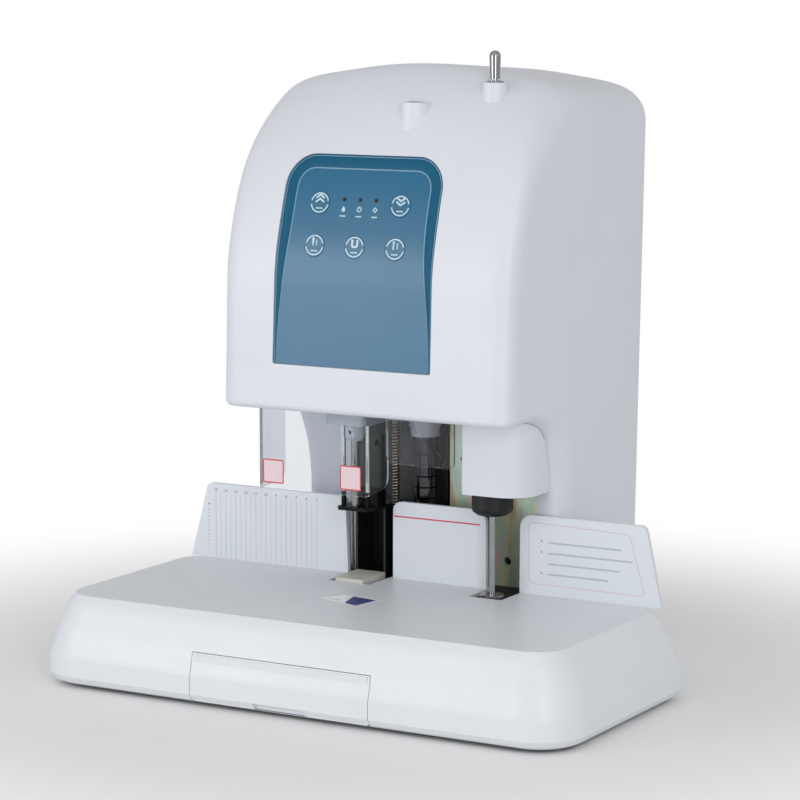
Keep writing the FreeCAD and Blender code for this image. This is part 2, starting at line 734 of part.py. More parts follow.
def build_panel():
    sheet = panel_prism(0.0).common(body_solid(panel_face)).cut(body_solid(panel_depth - 0.15))
    sheet = sheet.common(box(-200, 200, hood_front - 20.0, 40.0, 200, 500))
    for name, x, z in key_places():
        sheet = sheet.cut(key_cut(x, z, key_r + 0.3, 8.0))
    for x, z in led_places():
        sheet = sheet.cut(key_cut(x, z, 1.6, 8.0))
    return sheet


def build_key(x, z):
    cap = key_peg(x, z, key_r, panel_face - 0.2, panel_depth + 0.5)
    stem = key_peg(x, z, 2.5, panel_depth, panel_back + 1.4)
    return fuse([cap, stem])


def build_led(x, z):
    return key_peg(x, z, 1.55, panel_face - 0.3, key_board_depth - 1.6)


def key_board_slab(gap, thick):
    # slab square to the front surface behind the keys, gap in front of the board's face
    mid_z = (key_row_1 + key_row_2) / 2.0
    p, n = front_normal(mid_z)
    slab = Part.makeBox(110.0, 62.0, thick, V(-55.0, -31.0, -thick))
    tilt = math.degrees(math.atan2(n.z, -n.y))
    slab.rotate(V(0, 0, 0), V(1, 0, 0), 90.0 - tilt)
    slab.translate(V(key_mid, p.y, p.z) - n * (key_board_depth - gap))
    return slab


def build_key_board():
    # strip board behind the keys with a push switch under each key and a lamp under each light
    board = key_board_slab(0.0, 1.6)
    switches = [key_peg(x, z, 3.0, panel_back + 2.0, key_board_depth + 0.6) for name, x, z in key_places()]
    lamps = [key_peg(x, z, 1.5, key_board_depth - 1.2, key_board_depth + 0.6) for x, z in led_places()]
    return fuse([board] + switches + lamps)


# ---------------------------------------------------------------- toggle lever
toggle_ball = 3.3
toggle_pin = 0.8
bush_top = 1.3             # how far the bush stands above its boss
bat_low = 3.9              # radius of the lever's bat at its lower end
bat_high = 4.5


def build_toggle_bush():
    x, y, z = boss_r[0], boss_r[1], boss_r[2]
    tube = cyl(x, y, z - 18.0, z + bush_top, 5.6)
    tube = tube.cut(cyl(x, y, z - 19.0, z - 2.0, toggle_ball + run))
    tube = tube.cut(Part.makeCone(toggle_ball + run, 4.4, bush_top + 2.1, V(x, y, z - 2.0)))
    tube = tube.cut(rod_x(y, z - 2.0, x - 4.8, x + 4.8, toggle_pin + run))
    return tube.removeSplitter()


def build_toggle_nut():
    z = boss_r[2]
    pts = [(boss_r[0] + 7.4 * math.cos(math.radians(60 * i + 12)),
            boss_r[1] + 7.4 * math.sin(math.radians(60 * i + 12)), z) for i in range(6)]
    nut = prism(pts, [0] * 6, V(0, 0, bush_top - 0.3))
    nut = nut.cut(cyl(boss_r[0], boss_r[1], z - 1.0, z + 4.0, 5.6))
    rim = Part.makeCone(8.4, 6.4, 2.0, V(boss_r[0], boss_r[1], z - 0.1))
    return nut.common(rim)


def build_toggle_body():
    x, y, z = boss_r[0], boss_r[1], boss_r[2]
    case = box(x - 9.0, x + 9.0, y - 7.0, y + 7.0, z - 42.0, z - 25.0)
    neck = cyl(x, y, z - 25.0, z - 18.0, 6.6).cut(cyl(x, y, z - 26.0, z - 17.0, 4.2))
    case = case.cut(cyl(x, y, z - 28.0, z - 24.0, 4.2))
    tags = [box(x + dx - 1.0, x + dx + 1.0, y - 2.0, y + 2.0, z - 49.0, z - 42.0) for dx in (-6.0, 0.0, 6.0)]
    return fuse([case, neck] + tags)


def build_toggle_lever():
    # bat with a round end, carried by a ball and a cross pin in the bush
    x, y, z = boss_r[0], boss_r[1], boss_r[2]
    half = 0.78 * toggle_ball
    parts = [cyl(x, y, z - 7.0, z + bush_top + 2.0, 2.0),
             Part.makeCone(bat_low, bat_high, 17.6, V(x, y, z + bush_top + 1.4)),
             Part.makeCone(toggle_ball / 2, toggle_ball, half, V(x, y, z - 2.0 - half)),
             Part.makeCone(toggle_ball, toggle_ball / 2, half, V(x, y, z - 2.0)),
             Part.makeSphere(bat_high, V(x, y, z + bush_top + 19.0)),
             rod_x(y, z - 2.0, x - 4.6, x + 4.6, toggle_pin)]
    return fuse(parts)


# ---------------------------------------------------------------- guards and shroud
guard_y = -18.0


def hook(x0, x1, t):
    # top flange that lies on the inner side of the hood's underside, in front of the opening
    z = eave_z + wall + fit
    return box(x0, x1, guard_y - 22.0, guard_y + t, z, z + t)


def build_drill_guard():
    t = 2.0
    x0 = -121.5
    x1 = -21.0
    z0 = 146.5
    z1 = eave_z - 0.3
    z2 = eave_z + wall + fit + t
    front = plate_xz(x0, x1, z0, z1, guard_y, guard_y + t, [2.0, 0, 0, 0])
    tab = box(-68.0, x1 - 3.0, guard_y, guard_y + t, z1 - 2.0, z2)
    flaps = []
    for x in (x0, x1 - t):
        pts = [(x, guard_y, z0), (x, guard_y + 37.0, z0 + 3.0), (x, guard_y + 37.0, z1), (x, guard_y, z1)]
        flaps.append(prism(pts, [0, 10.0, 0, 0], V(t, 0, 0)))
    return fuse([front, tab] + flaps + [hook(-68.0, x1 - 3.0, t)]).cut(beside_openings())


def build_rivet_guard():
    t = 2.0
    z2 = eave_z + wall + fit + t
    pane = plate_xz(-2.0, 60.0, 176.0, z2, guard_y, guard_y + t, [8.0, 5.0, 0, 0])
    y = guard_y - 1.2
    rib = prism([(3.0, y, eave_z - 3.0), (50.0, y, 178.5), (54.0, y, 181.5), (7.0, y, eave_z - 0.5)],
                [0, 0, 0, 0], V(0, 1.4, 0))
    return fuse([pane, rib, hook(2.0, 58.0, t)]).cut(beside_openings())


def shroud_block(inset, z0, z1):
    x0 = 64.2 + inset
    x1 = 120.0 - inset
    y0 = -15.0 + inset
    pts = [(x0, y0, z0), (x1, y0, z0), (x1, 60.0, z0), (x0, 60.0, z0)]
    return prism(pts, [max(0.5, 3.0 - inset), 24.0 - inset, 0, 0], V(0, 0, z1 - z0))


def build_shroud():
    z0 = 156.2
    z1 = eave_z - 0.3
    body = shroud_block(0.0, z0, z1).cut(shroud_block(1.6, z0 - 1.0, z1 - 2.0))
    # its back follows the curve of the throat
    pts = [V(0, -40.0, z0 - 1), V(0, 30.5, z0 - 1), V(0, 30.0, 176.0), V(0, 25.0, 193.0), V(0, 13.0, 208.0),
           V(0, -9.0, eave_z + 1), V(0, -40.0, eave_z + 1)]
    curve = Part.BSplineCurve()
    curve.interpolate(pts[1:6])
    edges = [Part.makeLine(pts[0], pts[1]), curve.toShape(), Part.makeLine(pts[5], pts[6]),
             Part.makeLine(pts[6], pts[0])]
    side = Part.Face(Part.Wire(edges)).extrude(V(200.0, 0, 0))
    body = body.common(side)
    body = body.cut(beside_openings())
    body = body.cut(cyl(rivet_x, work_y, z1 - 4.0, z1 + 2.0, 9.0))
    return body


# ---------------------------------------------------------------- drill unit
carriage_low = 203.0
carriage_high = 240.0
foot_lift = 15.0


def build_carriage():
    block = plate_xy(-75.0, 12.0, 30.0, 62.0, carriage_low, carriage_high, 4.0)
    arm = plate_xy(-62.0, -25.0, -14.0, 34.0, carriage_low, carriage_high - 8.0, 5.0)
    body = fuse([block, arm])
    body = body.cut(cyl(post_x, post_y, 190.0, 260.0, post_r + run))
    body = body.cut(cyl(spring_x, post_y, 190.0, 260.0, 2.0 + run))
    body = body.cut(cyl(screw_x, screw_y, 190.0, 260.0, screw_r + 0.4))
    body = body.cut(cyl(drill_x, work_y, 190.0, 260.0, 8.0 + run))
    for dx in (-11.0, 11.0):
        body = body.cut(cyl(drill_x + dx, work_y, 190.0, 260.0, 2.0 + run))
    return body


def build_screw_nut():
    # white flanged nut under the carriage that runs on the feed screw
    flange = cyl(screw_x, screw_y, carriage_low - 6.0, carriage_low, 13.0)
    collar = cyl(screw_x, screw_y, carriage_low - 14.0, carriage_low - 6.0, 12.0)
    nut = fuse([flange, collar])
    return nut.cut(cyl(screw_x, screw_y, 150.0, 250.0, screw_r + run))


def build_feed_screw():
    z0 = bed_z + bed_t - 4.0
    z1 = frame_top_z - 6.0
    body = cyl(screw_x, screw_y, z0, z1, screw_r)
    neck = cyl(screw_x, screw_y, z1, frame_top_z + 12.0, 5.0)
    foot = cyl(screw_x, screw_y, bed_z + 2.3, z0, 6.0)
    body = fuse([body, neck, foot])
    z = 82.0
    while z < carriage_low - 22.0:
        ring = Part.makeCone(screw_r + 0.6, screw_r - 0.9, 1.1, V(screw_x, screw_y, z))
        ring2 = Part.makeCone(screw_r - 0.9, screw_r + 0.6, 1.1, V(screw_x, screw_y, z + 1.1))
        band = cyl(screw_x, screw_y, z, z + 2.2, screw_r + 1.0).cut(ring.fuse(ring2))
        body = body.cut(band)
        z += 9.1
    return body.removeSplitter()


def build_screw_bearing():
    ring = cyl(screw_x, screw_y, bed_z + 2.0, bed_z + bed_t - 4.1, 11.0)
    return ring.cut(cyl(screw_x, screw_y, bed_z, bed_z + bed_t, 6.0 + run))


def build_drill_motor():
    z0 = carriage_high - 8.0
    can = cyl(drill_x, work_y, z0, z0 + 78.0, 18.0)
    cap = cyl(drill_x, work_y, z0 + 78.0, z0 + 86.0, 12.0)
    body = fuse([can, cap])
    body = body.cut(cyl(drill_x, work_y, z0 - 1.0, z0 + 6.0, 8.6))
    for k in range(8):
        a = math.radians(45.0 * k)
        body = body.cut(cyl(drill_x + 18.4 * math.cos(a), work_y + 18.4 * math.sin(a), z0 + 20.0, z0 + 60.0, 1.4))
    return body.removeSplitter()


def build_chuck():
    pts = [(3.1, 188.5), (6.0, 188.5), (8.0, 191.5), (8.0, 234.0), (3.1, 234.0)]
    wire = Part.makePolygon([V(r, 0, z) for r, z in pts] + [V(pts[0][0], 0, pts[0][1])])
    body = Part.Face(wire).revolve(V(0, 0, 0), V(0, 0, 1), 360)
    body.translate(V(drill_x, work_y, 0))
    body = body.cut(rod_y(drill_x, 196.0, work_y - 12.0, work_y - 4.0, 1.6))
    return body


def build_bit():
    tip = bit_tip_z
    pts = [(bit_bore, tip), (bit_bore + 0.15, tip), (bit_r, tip + 2.0), (bit_r, 230.0), (bit_bore, 230.0)]
    wire = Part.makePolygon([V(r, 0, z) for r, z in pts] + [V(pts[0][0], 0, pts[0][1])])
    body = Part.Face(wire).revolve(V(0, 0, 0), V(0, 0, 1), 360)
    body.translate(V(drill_x, work_y, 0))
    return body


def build_stripper():
    # foot plate round the bit, guide rods, and the block behind that runs between the fences
    z0 = bit_tip_z + 0.6
    x0 = drill_x - 14.0
    x1 = drill_x + 15.0
    foot = plate_xy(x0, x1, work_y - 6.5, fence_y + fence_t - 0.5, z0, z0 + 3.0, 3.0)
    block = plate_xy(x0 + 5.5, x1, work_y + 9.0, fence_y + fence_t - 0.5, z0, z0 + 15.0, 2.0)
    foot = foot.cut(cyl(drill_x, work_y, z0 - 1.0, z0 + 4.0, bit_r + 0.6))
    rods = [cyl(drill_x + dx, work_y, z0, carriage_high - 8.0 - foot_lift - 0.6, 2.0) for dx in (-11.0, 11.0)]
    return fuse([foot, block] + rods)


def build_spring():
    # envelope of the fine return spring between the bed and the carriage
    return cyl(spring_x, post_y, bed_z + bed_t, carriage_low, 3.3).cut(
        cyl(spring_x, post_y, bed_z, carriage_low + 1.0, 2.15))


def build_feed_motor():
    z0 = frame_top_z + 4.0
    gear = cyl(screw_x, screw_y, z0, z0 + 18.0, 19.0)
    can = cyl(screw_x, screw_y, z0 + 18.0, z0 + 52.0, 15.0)
    body = fuse([gear, can])
    return body.cut(cyl(screw_x, screw_y, z0 - 1.0, z0 + 9.0, 5.0 + run))


# ---------------------------------------------------------------- rivet unit
ram_r = 7.0


def build_ram():
    rod = cyl(rivet_x, work_y, 160.0, 372.0, ram_r)
    return rod.cut(cyl(rivet_x, work_y, 159.0, 250.0, pin_r + run))


def build_rivet_head():
    z = head_low
    pts = [(pin_r + run, z + 1.5), (7.5, z + 1.5), (7.5, z), (head_r - 4.0, z), (head_r - 0.6, z + 2.6), (head_r, z + 5.0),
           (head_r, z + 30.0), (head_r - 1.0, z + 31.0), (ram_r, z + 31.0), (ram_r, z + 21.0), (pin_r + run, z + 21.0)]
    wire = Part.makePolygon([V(r, 0, h) for r, h in pts] + [V(pts[0][0], 0, pts[0][1])])
    body = Part.Face(wire).revolve(V(0, 0, 0), V(0, 0, 1), 360)
    body.translate(V(rivet_x, work_y, 0))
    return body


def build_rivet_tip():
    z = head_low
    pts = [(pin_r + run, z - 1.5), (5.2, z - 1.5), (7.5, z - 0.2), (7.5, z + 1.5), (pin_r + run, z + 1.5)]
    wire = Part.makePolygon([V(r, 0, h) for r, h in pts] + [V(pts[0][0], 0, pts[0][1])])
    body = Part.Face(wire).revolve(V(0, 0, 0), V(0, 0, 1), 360)
    body.translate(V(rivet_x, work_y, 0))
    return body


def build_actuator():
    z1 = frame_top_z
    tube = cyl(rivet_x, work_y, 240.0, z1, 15.0)
    flange = plate_xy(rivet_x - 22.0, rivet_x + 22.0, work_y - 22.0, work_y + 22.0, z1 - 6.0, z1, 3.0)
    body = fuse([tube, flange])
    bracket = box(rivet_x - 6.0, rivet_x + 6.0, work_y + 10.0, 63.0, 246.0, 276.0)
    body = fuse([body, bracket])
    return body.cut(cyl(rivet_x, work_y, 230.0, z1 - 10.0, ram_r + run))


def build_main_board():
    x = -body_half + wall + 6.0
    board = box(x, x + 1.6, 77.0, 146.0, 207.0, 333.0)
    chips = [box(x + 1.6, x + 12.0, 88.0, 108.0, 230.0, 262.0), box(x + 1.6, x + 18.0, 116.0, 136.0, 226.0, 250.0),
             box(x + 1.6, x + 6.0, 90.0, 132.0, 285.0, 291.0)]
    return fuse([board] + chips)


def build_supply():
    z0 = foot_h + 2.0
    core = box(-30.0, 36.0, 112.0, 152.0, z0 + 3.0, z0 + 50.0)
    coil = box(-20.0, 26.0, 106.0, 158.0, z0 + 12.0, z0 + 41.0)
    feet = box(-42.0, 48.0, 118.0, 146.0, z0, z0 + 3.0)
    return fuse([core, coil, feet])


# ---------------------------------------------------------------- build
save("base_shell", build_base())
save("base_plate", build_base_plate())
save("plate_screws", build_plate_screws())
for foot_name, place in zip(("front_left", "front_right", "rear_left", "rear_right"), foot_places()):
    save("foot_" + foot_name, build_foot(*place))
save("chip_drawer", build_drawer())
save("frame_bed", build_bed())
save("bed_spacers", build_spacers())
save("drill_frame", build_drill_frame())
save("rivet_frame", build_rivet_frame())
save("frame_top", build_frame_top())
save("guide_post", build_post(post_x, post_y, post_r))
save("spring_post", build_post(spring_x, post_y, 2.0))
save("rivet_post", build_post(57.0, 45.0, 6.0))
save("chip_chute", build_chute())
save("drill_pad", build_pad())
save("anvil", build_anvil())
save("guide_pin", build_guide_pin())
save("fence_left", fence(-218.6, -201.5, -66.0, -63.4, 6.0, 5.0))
save("fence_centre", fence(-20.6, -20.4, 65.5, 66.0, 8.0, 11.0))
save("fence_right", fence(96.3, 96.8, 207.0, 221.0, 11.0, 6.0))
save("body_shell", build_body())
save("rear_cover", build_rear_cover())
save("cover_screws", build_cover_screws())
save("mains_inlet", build_inlet())
save("throat_panel", build_throat_panel())
save("control_panel", build_panel())
save("key_board", build_key_board())
for key_name, key_x, key_z in key_places():
    save(key_name, build_key(key_x, key_z))
save("panel_lights", Part.makeCompound([build_led(x, z) for x, z in led_places()]))
save("toggle_bush", build_toggle_bush())
save("toggle_nut", build_toggle_nut())
save("toggle_body", build_toggle_body())
save("toggle_lever", build_toggle_lever())
save("drill_guard", build_drill_guard())
save("rivet_guard", build_rivet_guard())
save("rivet_shroud", build_shroud())
save("drill_carriage", build_carriage())
save("screw_nut", build_screw_nut())
save("feed_screw", build_feed_screw())
save("screw_bearing", build_screw_bearing())
save("drill_motor", build_drill_motor())
save("drill_chuck", build_chuck())
save("drill_bit", build_bit())
save("stripper_foot", build_stripper())
save("return_spring", build_spring())
save("feed_motor", build_feed_motor())
save("rivet_ram", build_ram())
save("rivet_head", build_rivet_head())
save("rivet_tip", build_rivet_tip())
save("ram_actuator", build_actuator())
save("main_board", build_main_board())
save("power_supply", build_supply())
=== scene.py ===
# %% [markdown]
# # A machine that binds paper with a hot rivet
# The machine drills a hole through a stack of paper at its left station and closes a plastic rivet in that
# hole at its right one. Every solid comes packed with its real size and place. This file gives each solid
# its finish, prints the marks on it, and sets up a small studio. Lengths are in metres, but the drawings of
# the prints, the rim and the ribs, and every name that ends in mm, are in millimetres.

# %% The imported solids
import math
import bpy
import bmesh
from mathutils import Matrix, Vector
from mathutils.bvhtree import BVHTree


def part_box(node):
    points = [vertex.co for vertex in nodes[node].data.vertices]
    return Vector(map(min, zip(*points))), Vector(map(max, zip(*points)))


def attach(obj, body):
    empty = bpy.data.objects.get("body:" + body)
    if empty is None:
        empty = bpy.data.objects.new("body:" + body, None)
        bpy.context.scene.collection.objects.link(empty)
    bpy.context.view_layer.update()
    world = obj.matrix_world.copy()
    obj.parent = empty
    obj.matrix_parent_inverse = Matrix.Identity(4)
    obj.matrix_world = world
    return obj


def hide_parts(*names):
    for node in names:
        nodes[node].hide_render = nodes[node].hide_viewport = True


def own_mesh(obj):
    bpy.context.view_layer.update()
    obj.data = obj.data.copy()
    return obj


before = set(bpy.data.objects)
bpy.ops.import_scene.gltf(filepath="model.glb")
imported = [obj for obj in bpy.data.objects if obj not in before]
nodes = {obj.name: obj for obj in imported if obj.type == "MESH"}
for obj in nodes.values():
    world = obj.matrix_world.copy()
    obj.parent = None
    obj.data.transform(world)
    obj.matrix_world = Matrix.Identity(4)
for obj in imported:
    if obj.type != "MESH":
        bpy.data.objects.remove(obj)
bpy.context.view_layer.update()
MM = 0.001

# %% [markdown]
# ## Colours and nodes
# Paint and plastic makers give colours as sRGB numbers, but light adds up in linear numbers, so one function
# turns a hex code into linear values. A second one adds a shader node with its settings, plain values and
# links in a single line, which keeps each finish short enough to read in one go. Sockets go by their names.
# Where several sockets share one name, as on the Mix and Math nodes, they go by their order, from 0.

# %% Helpers for every finish
MIX_FACTOR, MIX_FIRST, MIX_SECOND, MIX_COLOUR = 0, 6, 7, 2


def colour(code):
    # an sRGB hex code as linear red, green and blue, with full opacity
    shares = [int(code[i:i + 2], 16) / 255.0 for i in (1, 3, 5)]
    linear = [s / 12.92 if s <= 0.04045 else ((s + 0.055) / 1.055) ** 2.4 for s in shares]
    return (*linear, 1.0)


def add(tree, kind, settings=None, values=None, links=None):
    made = tree.nodes.new(kind)
    for key, value in (settings or {}).items():
        setattr(made, key, value)
    for key, value in (values or {}).items():
        made.inputs[key].default_value = value
    for key, socket in (links or {}).items():
        tree.links.new(socket, made.inputs[key])
    return made


def blank_material(name):
    material = bpy.data.materials.new(name)
    material.use_nodes = True
    material.node_tree.nodes.clear()
    return material, material.node_tree


def per_metre(size_mm):
    # how many times a pattern of this size repeats in one metre
    return 1000.0 / size_mm


print("mid grey is", [round(c, 3) for c in colour("#808080")[:3]])

# %% [markdown]
# ## The camera
# A machine this size is usually shown from about two metres with a long lens, which keeps its upright edges
# nearly parallel. The camera stands to the right of the front and a little above the hood, so that the
# table, the panel and the right side are all in view. A Track To constraint could aim it, but three axes
# worked out from two angles hold it level without one.

# %% A long lens, a little above the machine
AZIMUTH = math.radians(29.92)
PITCH = math.radians(8.13)
CAMERA_PLACE = (1.1639, -2.0212, 0.5582)
right = Vector((math.cos(AZIMUTH), math.sin(AZIMUTH), 0.0))
back = Vector((math.sin(AZIMUTH) * math.cos(PITCH), -math.cos(AZIMUTH) * math.cos(PITCH), math.sin(PITCH)))
up = back.cross(right)
turned = Matrix((right, up, back)).transposed().to_4x4()
lens = bpy.data.cameras.new("studio_camera")
# Blender gives the focal length and the sensor in millimetres, as they are sold.
lens.lens = 132.2
lens.sensor_width = 36.0
lens.clip_end = 30.0
camera = bpy.data.objects.new("studio_camera", lens)
camera.matrix_world = Matrix.Translation(CAMERA_PLACE) @ turned
bpy.context.scene.collection.objects.link(camera)
bpy.context.scene.camera = camera
bpy.context.scene.view_settings.view_transform = "Standard"
print("camera stands", round(camera.location.length, 2), "m from the origin")

# %% [markdown]
# ## The studio
# White plastic shows its form only through soft changes of tone. Small lamps would draw hard edges on it, so
# these are large. A wide softbox at the front left is the main light. A tall narrow one at the front right
# draws a soft band down the rounded corner, and two weak ones at the right and overhead lift the side and
# the roof. The floor is matt and holds the shadow near the machine, and further out it is plain white where
# the camera or clear plastic sees it. So is the world, which lights everything with a plain grey.

# %% Floor
FLOOR_RADIUS = 6.0
FLOOR_SIDES = 96
# Distances from the middle of the machine, between which the floor fades from matt to plain white.
MATT_WITHIN, WHITE_BEYOND = 0.28, 0.75
floor_mesh = bpy.data.meshes.new("studio_floor")
floor_turns = [2 * math.pi * k / FLOOR_SIDES for k in range(FLOOR_SIDES)]
floor_edge = [(FLOOR_RADIUS * math.cos(a), FLOOR_RADIUS * math.sin(a), 0.0) for a in floor_turns]
floor_mesh.from_pydata(floor_edge, [], [list(range(FLOOR_SIDES))])
floor = bpy.data.objects.new("studio_floor", floor_mesh)
bpy.context.scene.collection.objects.link(floor)
floor_paint, tree = blank_material("matt_white_floor")
place = add(tree, "ShaderNodeTexCoord")
distance = add(tree, "ShaderNodeVectorMath", {"operation": "LENGTH"}, links={0: place.outputs["Object"]})
fade = add(tree, "ShaderNodeMapRange", {"interpolation_type": "SMOOTHSTEP"},
           {"From Min": MATT_WITHIN, "From Max": WHITE_BEYOND}, {"Value": distance.outputs["Value"]})
rays = add(tree, "ShaderNodeLightPath")
seen = add(tree, "ShaderNodeMath", {"operation": "MAXIMUM"},
           links={0: rays.outputs["Is Camera Ray"], 1: rays.outputs["Is Transmission Ray"]})
share = add(tree, "ShaderNodeMath", {"operation": "MULTIPLY"},
            links={0: fade.outputs["Result"], 1: seen.outputs["Value"]})
matt = add(tree, "ShaderNodeBsdfPrincipled", values={"Base Color": colour("#f4f4f4"), "Roughness": 0.9})
glow = add(tree, "ShaderNodeEmission", values={"Color": (1, 1, 1, 1), "Strength": 1.0})
mixed = add(tree, "ShaderNodeMixShader",
            links={0: share.outputs["Value"], 1: matt.outputs["BSDF"], 2: glow.outputs["Emission"]})
add(tree, "ShaderNodeOutputMaterial", links={"Surface": mixed.outputs["Shader"]})
floor.data.materials.append(floor_paint)
print("floor is", 2 * FLOOR_RADIUS, "m across")

# %% World
WORLD_LIGHT, WORLD_WHITE = 0.57, 1.0
world = bpy.data.worlds.new("studio_world")
world.use_nodes = True
tree = world.node_tree
tree.nodes.clear()
rays = add(tree, "ShaderNodeLightPath")
seen = add(tree, "ShaderNodeMath", {"operation": "MAXIMUM"},
           links={0: rays.outputs["Is Camera Ray"], 1: rays.outputs["Is Transmission Ray"]})
strength = add(tree, "ShaderNodeMapRange", values={"To Min": WORLD_LIGHT, "To Max": WORLD_WHITE},
               links={"Value": seen.outputs["Value"]})
sky = add(tree, "ShaderNodeBackground", values={"Color": (1, 1, 1, 1)},
          links={"Strength": strength.outputs["Result"]})
add(tree, "ShaderNodeOutputWorld", links={"Surface": sky.outputs["Background"]})
bpy.context.scene.world = world
print("the world lights at", WORLD_LIGHT)


# %% Lamps
def softbox(name, place, target, width, height, watts):
    light = bpy.data.lights.new(name, "AREA")
    light.shape = "RECTANGLE"
    light.size = width
    light.size_y = height
    light.energy = watts
    lamp = bpy.data.objects.new(name, light)
    lamp.location = place
    lamp.rotation_euler = (Vector(target) - Vector(place)).to_track_quat("-Z", "Y").to_euler()
    bpy.context.scene.collection.objects.link(lamp)


softbox("softbox_front_left", (-1.45, -2.35, 0.6), (0, 0, 0.3), width=1.1, height=1.2, watts=18.0)
softbox("strip_front_right", (1.65, -1.75, 0.75), (0, 0, 0.3), width=0.45, height=1.5, watts=12.0)
softbox("softbox_right", (2.6, -0.3, 1.3), (0, 0, 0.25), width=1.2, height=1.6, watts=3.0)
softbox("softbox_above", (0.3, -1.2, 2.1), (0, 0, 0.2), width=1.8, height=1.2, watts=3.0)

# %% [markdown]
# ## Moulded plastic
# Housings like this are injection-moulded ABS, and a finely etched mould gives them a satin skin. It is
# never quite flat: it carries a very shallow ripple, called orange peel, a few millimetres wide, and its
# colour drifts a little where the melt cooled at different speeds. An image could hold both, but two layers
# of noise make them at their real size on any shape. The same recipe with other numbers gives the printed
# fences, the nylon, the rubber and the paints.

# %% A recipe for moulded parts
def moulded(name, base, shade, roughness, ripple_mm, ripple_height, ior=1.53, coat=0.0, drift_mm=70.0):
    material, tree = blank_material(name)
    place = add(tree, "ShaderNodeTexCoord")
    drift = add(tree, "ShaderNodeTexNoise", values={"Scale": per_metre(drift_mm), "Detail": 3.0},
                links={"Vector": place.outputs["Object"]})
    tone = add(tree, "ShaderNodeMix", {"data_type": "RGBA"},
               {MIX_FIRST: colour(base), MIX_SECOND: colour(shade)}, {MIX_FACTOR: drift.outputs["Fac"]})
    ripple = add(tree, "ShaderNodeTexNoise", values={"Scale": per_metre(ripple_mm), "Detail": 2.0},
                 links={"Vector": place.outputs["Object"]})
    # the gloss drifts with the colour, by a tenth or so either way
    gloss = add(tree, "ShaderNodeMapRange", values={"To Min": roughness * 0.9, "To Max": roughness * 1.15},
                links={"Value": drift.outputs["Fac"]})
    bump = add(tree, "ShaderNodeBump", values={"Strength": 1.0, "Distance": ripple_height},
               links={"Height": ripple.outputs["Fac"]})
    skin = add(tree, "ShaderNodeBsdfPrincipled",
               values={"IOR": ior, "Coat Weight": coat, "Coat Roughness": 0.3},
               links={"Base Color": tone.outputs[MIX_COLOUR], "Roughness": gloss.outputs["Result"],
                      "Normal": bump.outputs["Normal"]})
    add(tree, "ShaderNodeOutputMaterial", links={"Surface": skin.outputs["BSDF"]})
    return material


print("recipe ready:", moulded.__name__)

# %% White and grey ABS
# Hood and column: a cool white with a soft sheen and no sharp mirror image.
white_abs = moulded("gloss_white_abs", "#dcdfe7", "#d6d9e1", roughness=0.46, ripple_mm=3.0,
                    ripple_height=0.00002, coat=0.14)
# Table and drawer: a finer skin, a shade lighter, that paper slides on.
table_abs = moulded("satin_white_abs", "#e2e5ea", "#dcdfe4", roughness=0.42, ripple_mm=1.2,
                    ripple_height=0.00002, coat=0.12)
# Fences: matt enough for screen printing to hold.
fence_abs = moulded("screen_printed_abs", "#dde2e8", "#d7dce3", roughness=0.45, ripple_mm=1.0,
                    ripple_height=0.000015)
# Lining of the throat: a plain grey that is painted shade, standing in for the hood's shadow on white
# plastic.
painted_shade_grey_abs = moulded("painted_shade_grey_abs", "#8d9297", "#82878c", roughness=0.45, ripple_mm=1.0, ripple_height=0.00003)
print("ABS finishes:", white_abs.name, table_abs.name, fence_abs.name, painted_shade_grey_abs.name)

# %% Nylon, rubber, lens and paint
# The white nylon of the feed nut looks greyer than ABS, because light goes some way into it.
white_nylon = moulded("moulded_white_nylon", "#bdbcc3", "#adacb4", roughness=0.4, ripple_mm=0.8,
                      ripple_height=0.00002)
# Rivet head, chute and inlet: a deep black with a low index, so that it stays dark under the lamps.
black_nylon = moulded("moulded_black_nylon", "#0e1013", "#14161a", roughness=0.45, ripple_mm=0.8,
                      ripple_height=0.00003, ior=1.42)
# The pad under the drill is scarred by the bit: its warm white has blotches about a centimetre wide.
pad_nylon = moulded("cutting_pad_polyethylene", "#d3d1ca", "#c4c2ba", roughness=0.5, ripple_mm=1.5,
                    ripple_height=0.00006, drift_mm=9.0)
# Feet: dull, with hardly any reflection.
rubber = moulded("black_rubber", "#202123", "#2a2b2d", roughness=0.75, ripple_mm=0.6,
                 ripple_height=0.00004, ior=1.52)
# Lamp lenses: smooth and nearly black while the lamps are off.
lens_black = moulded("smoked_lamp_lens", "#050708", "#040506", roughness=0.2, ripple_mm=2.0,
                     ripple_height=0.00001)
# Silver paint on castings: even and soft, with the grain of the casting under it.
cast_paint = moulded("silver_painted_casting", "#b2b5bb", "#a6a9b0", roughness=0.5, ripple_mm=0.9,
                     ripple_height=0.00005)
# Powder coat on the frame's steel sheet: a baked plastic skin with a fine pebble.
dark_coat = moulded("black_powder_coat", "#1b1c1d", "#242526", roughness=0.55, ripple_mm=0.7,
                    ripple_height=0.00005)
print("finishes so far:", len(bpy.data.materials))

# %% [markdown]
# ## The blue overlay
# The control panel is a printed polyester film over the key board, and the keys are part of the same film.
# One gloss layer with the usual index would lay a grey veil over the dark blue. So the printed back has a
# low index, and a soft coat above it carries the gloss and mirrors the lamps as a broad bright band.

# %% Polyester film with a printed back
FILM_GRAIN_MM, FILM_WAVE_MM = 0.8, 45.0


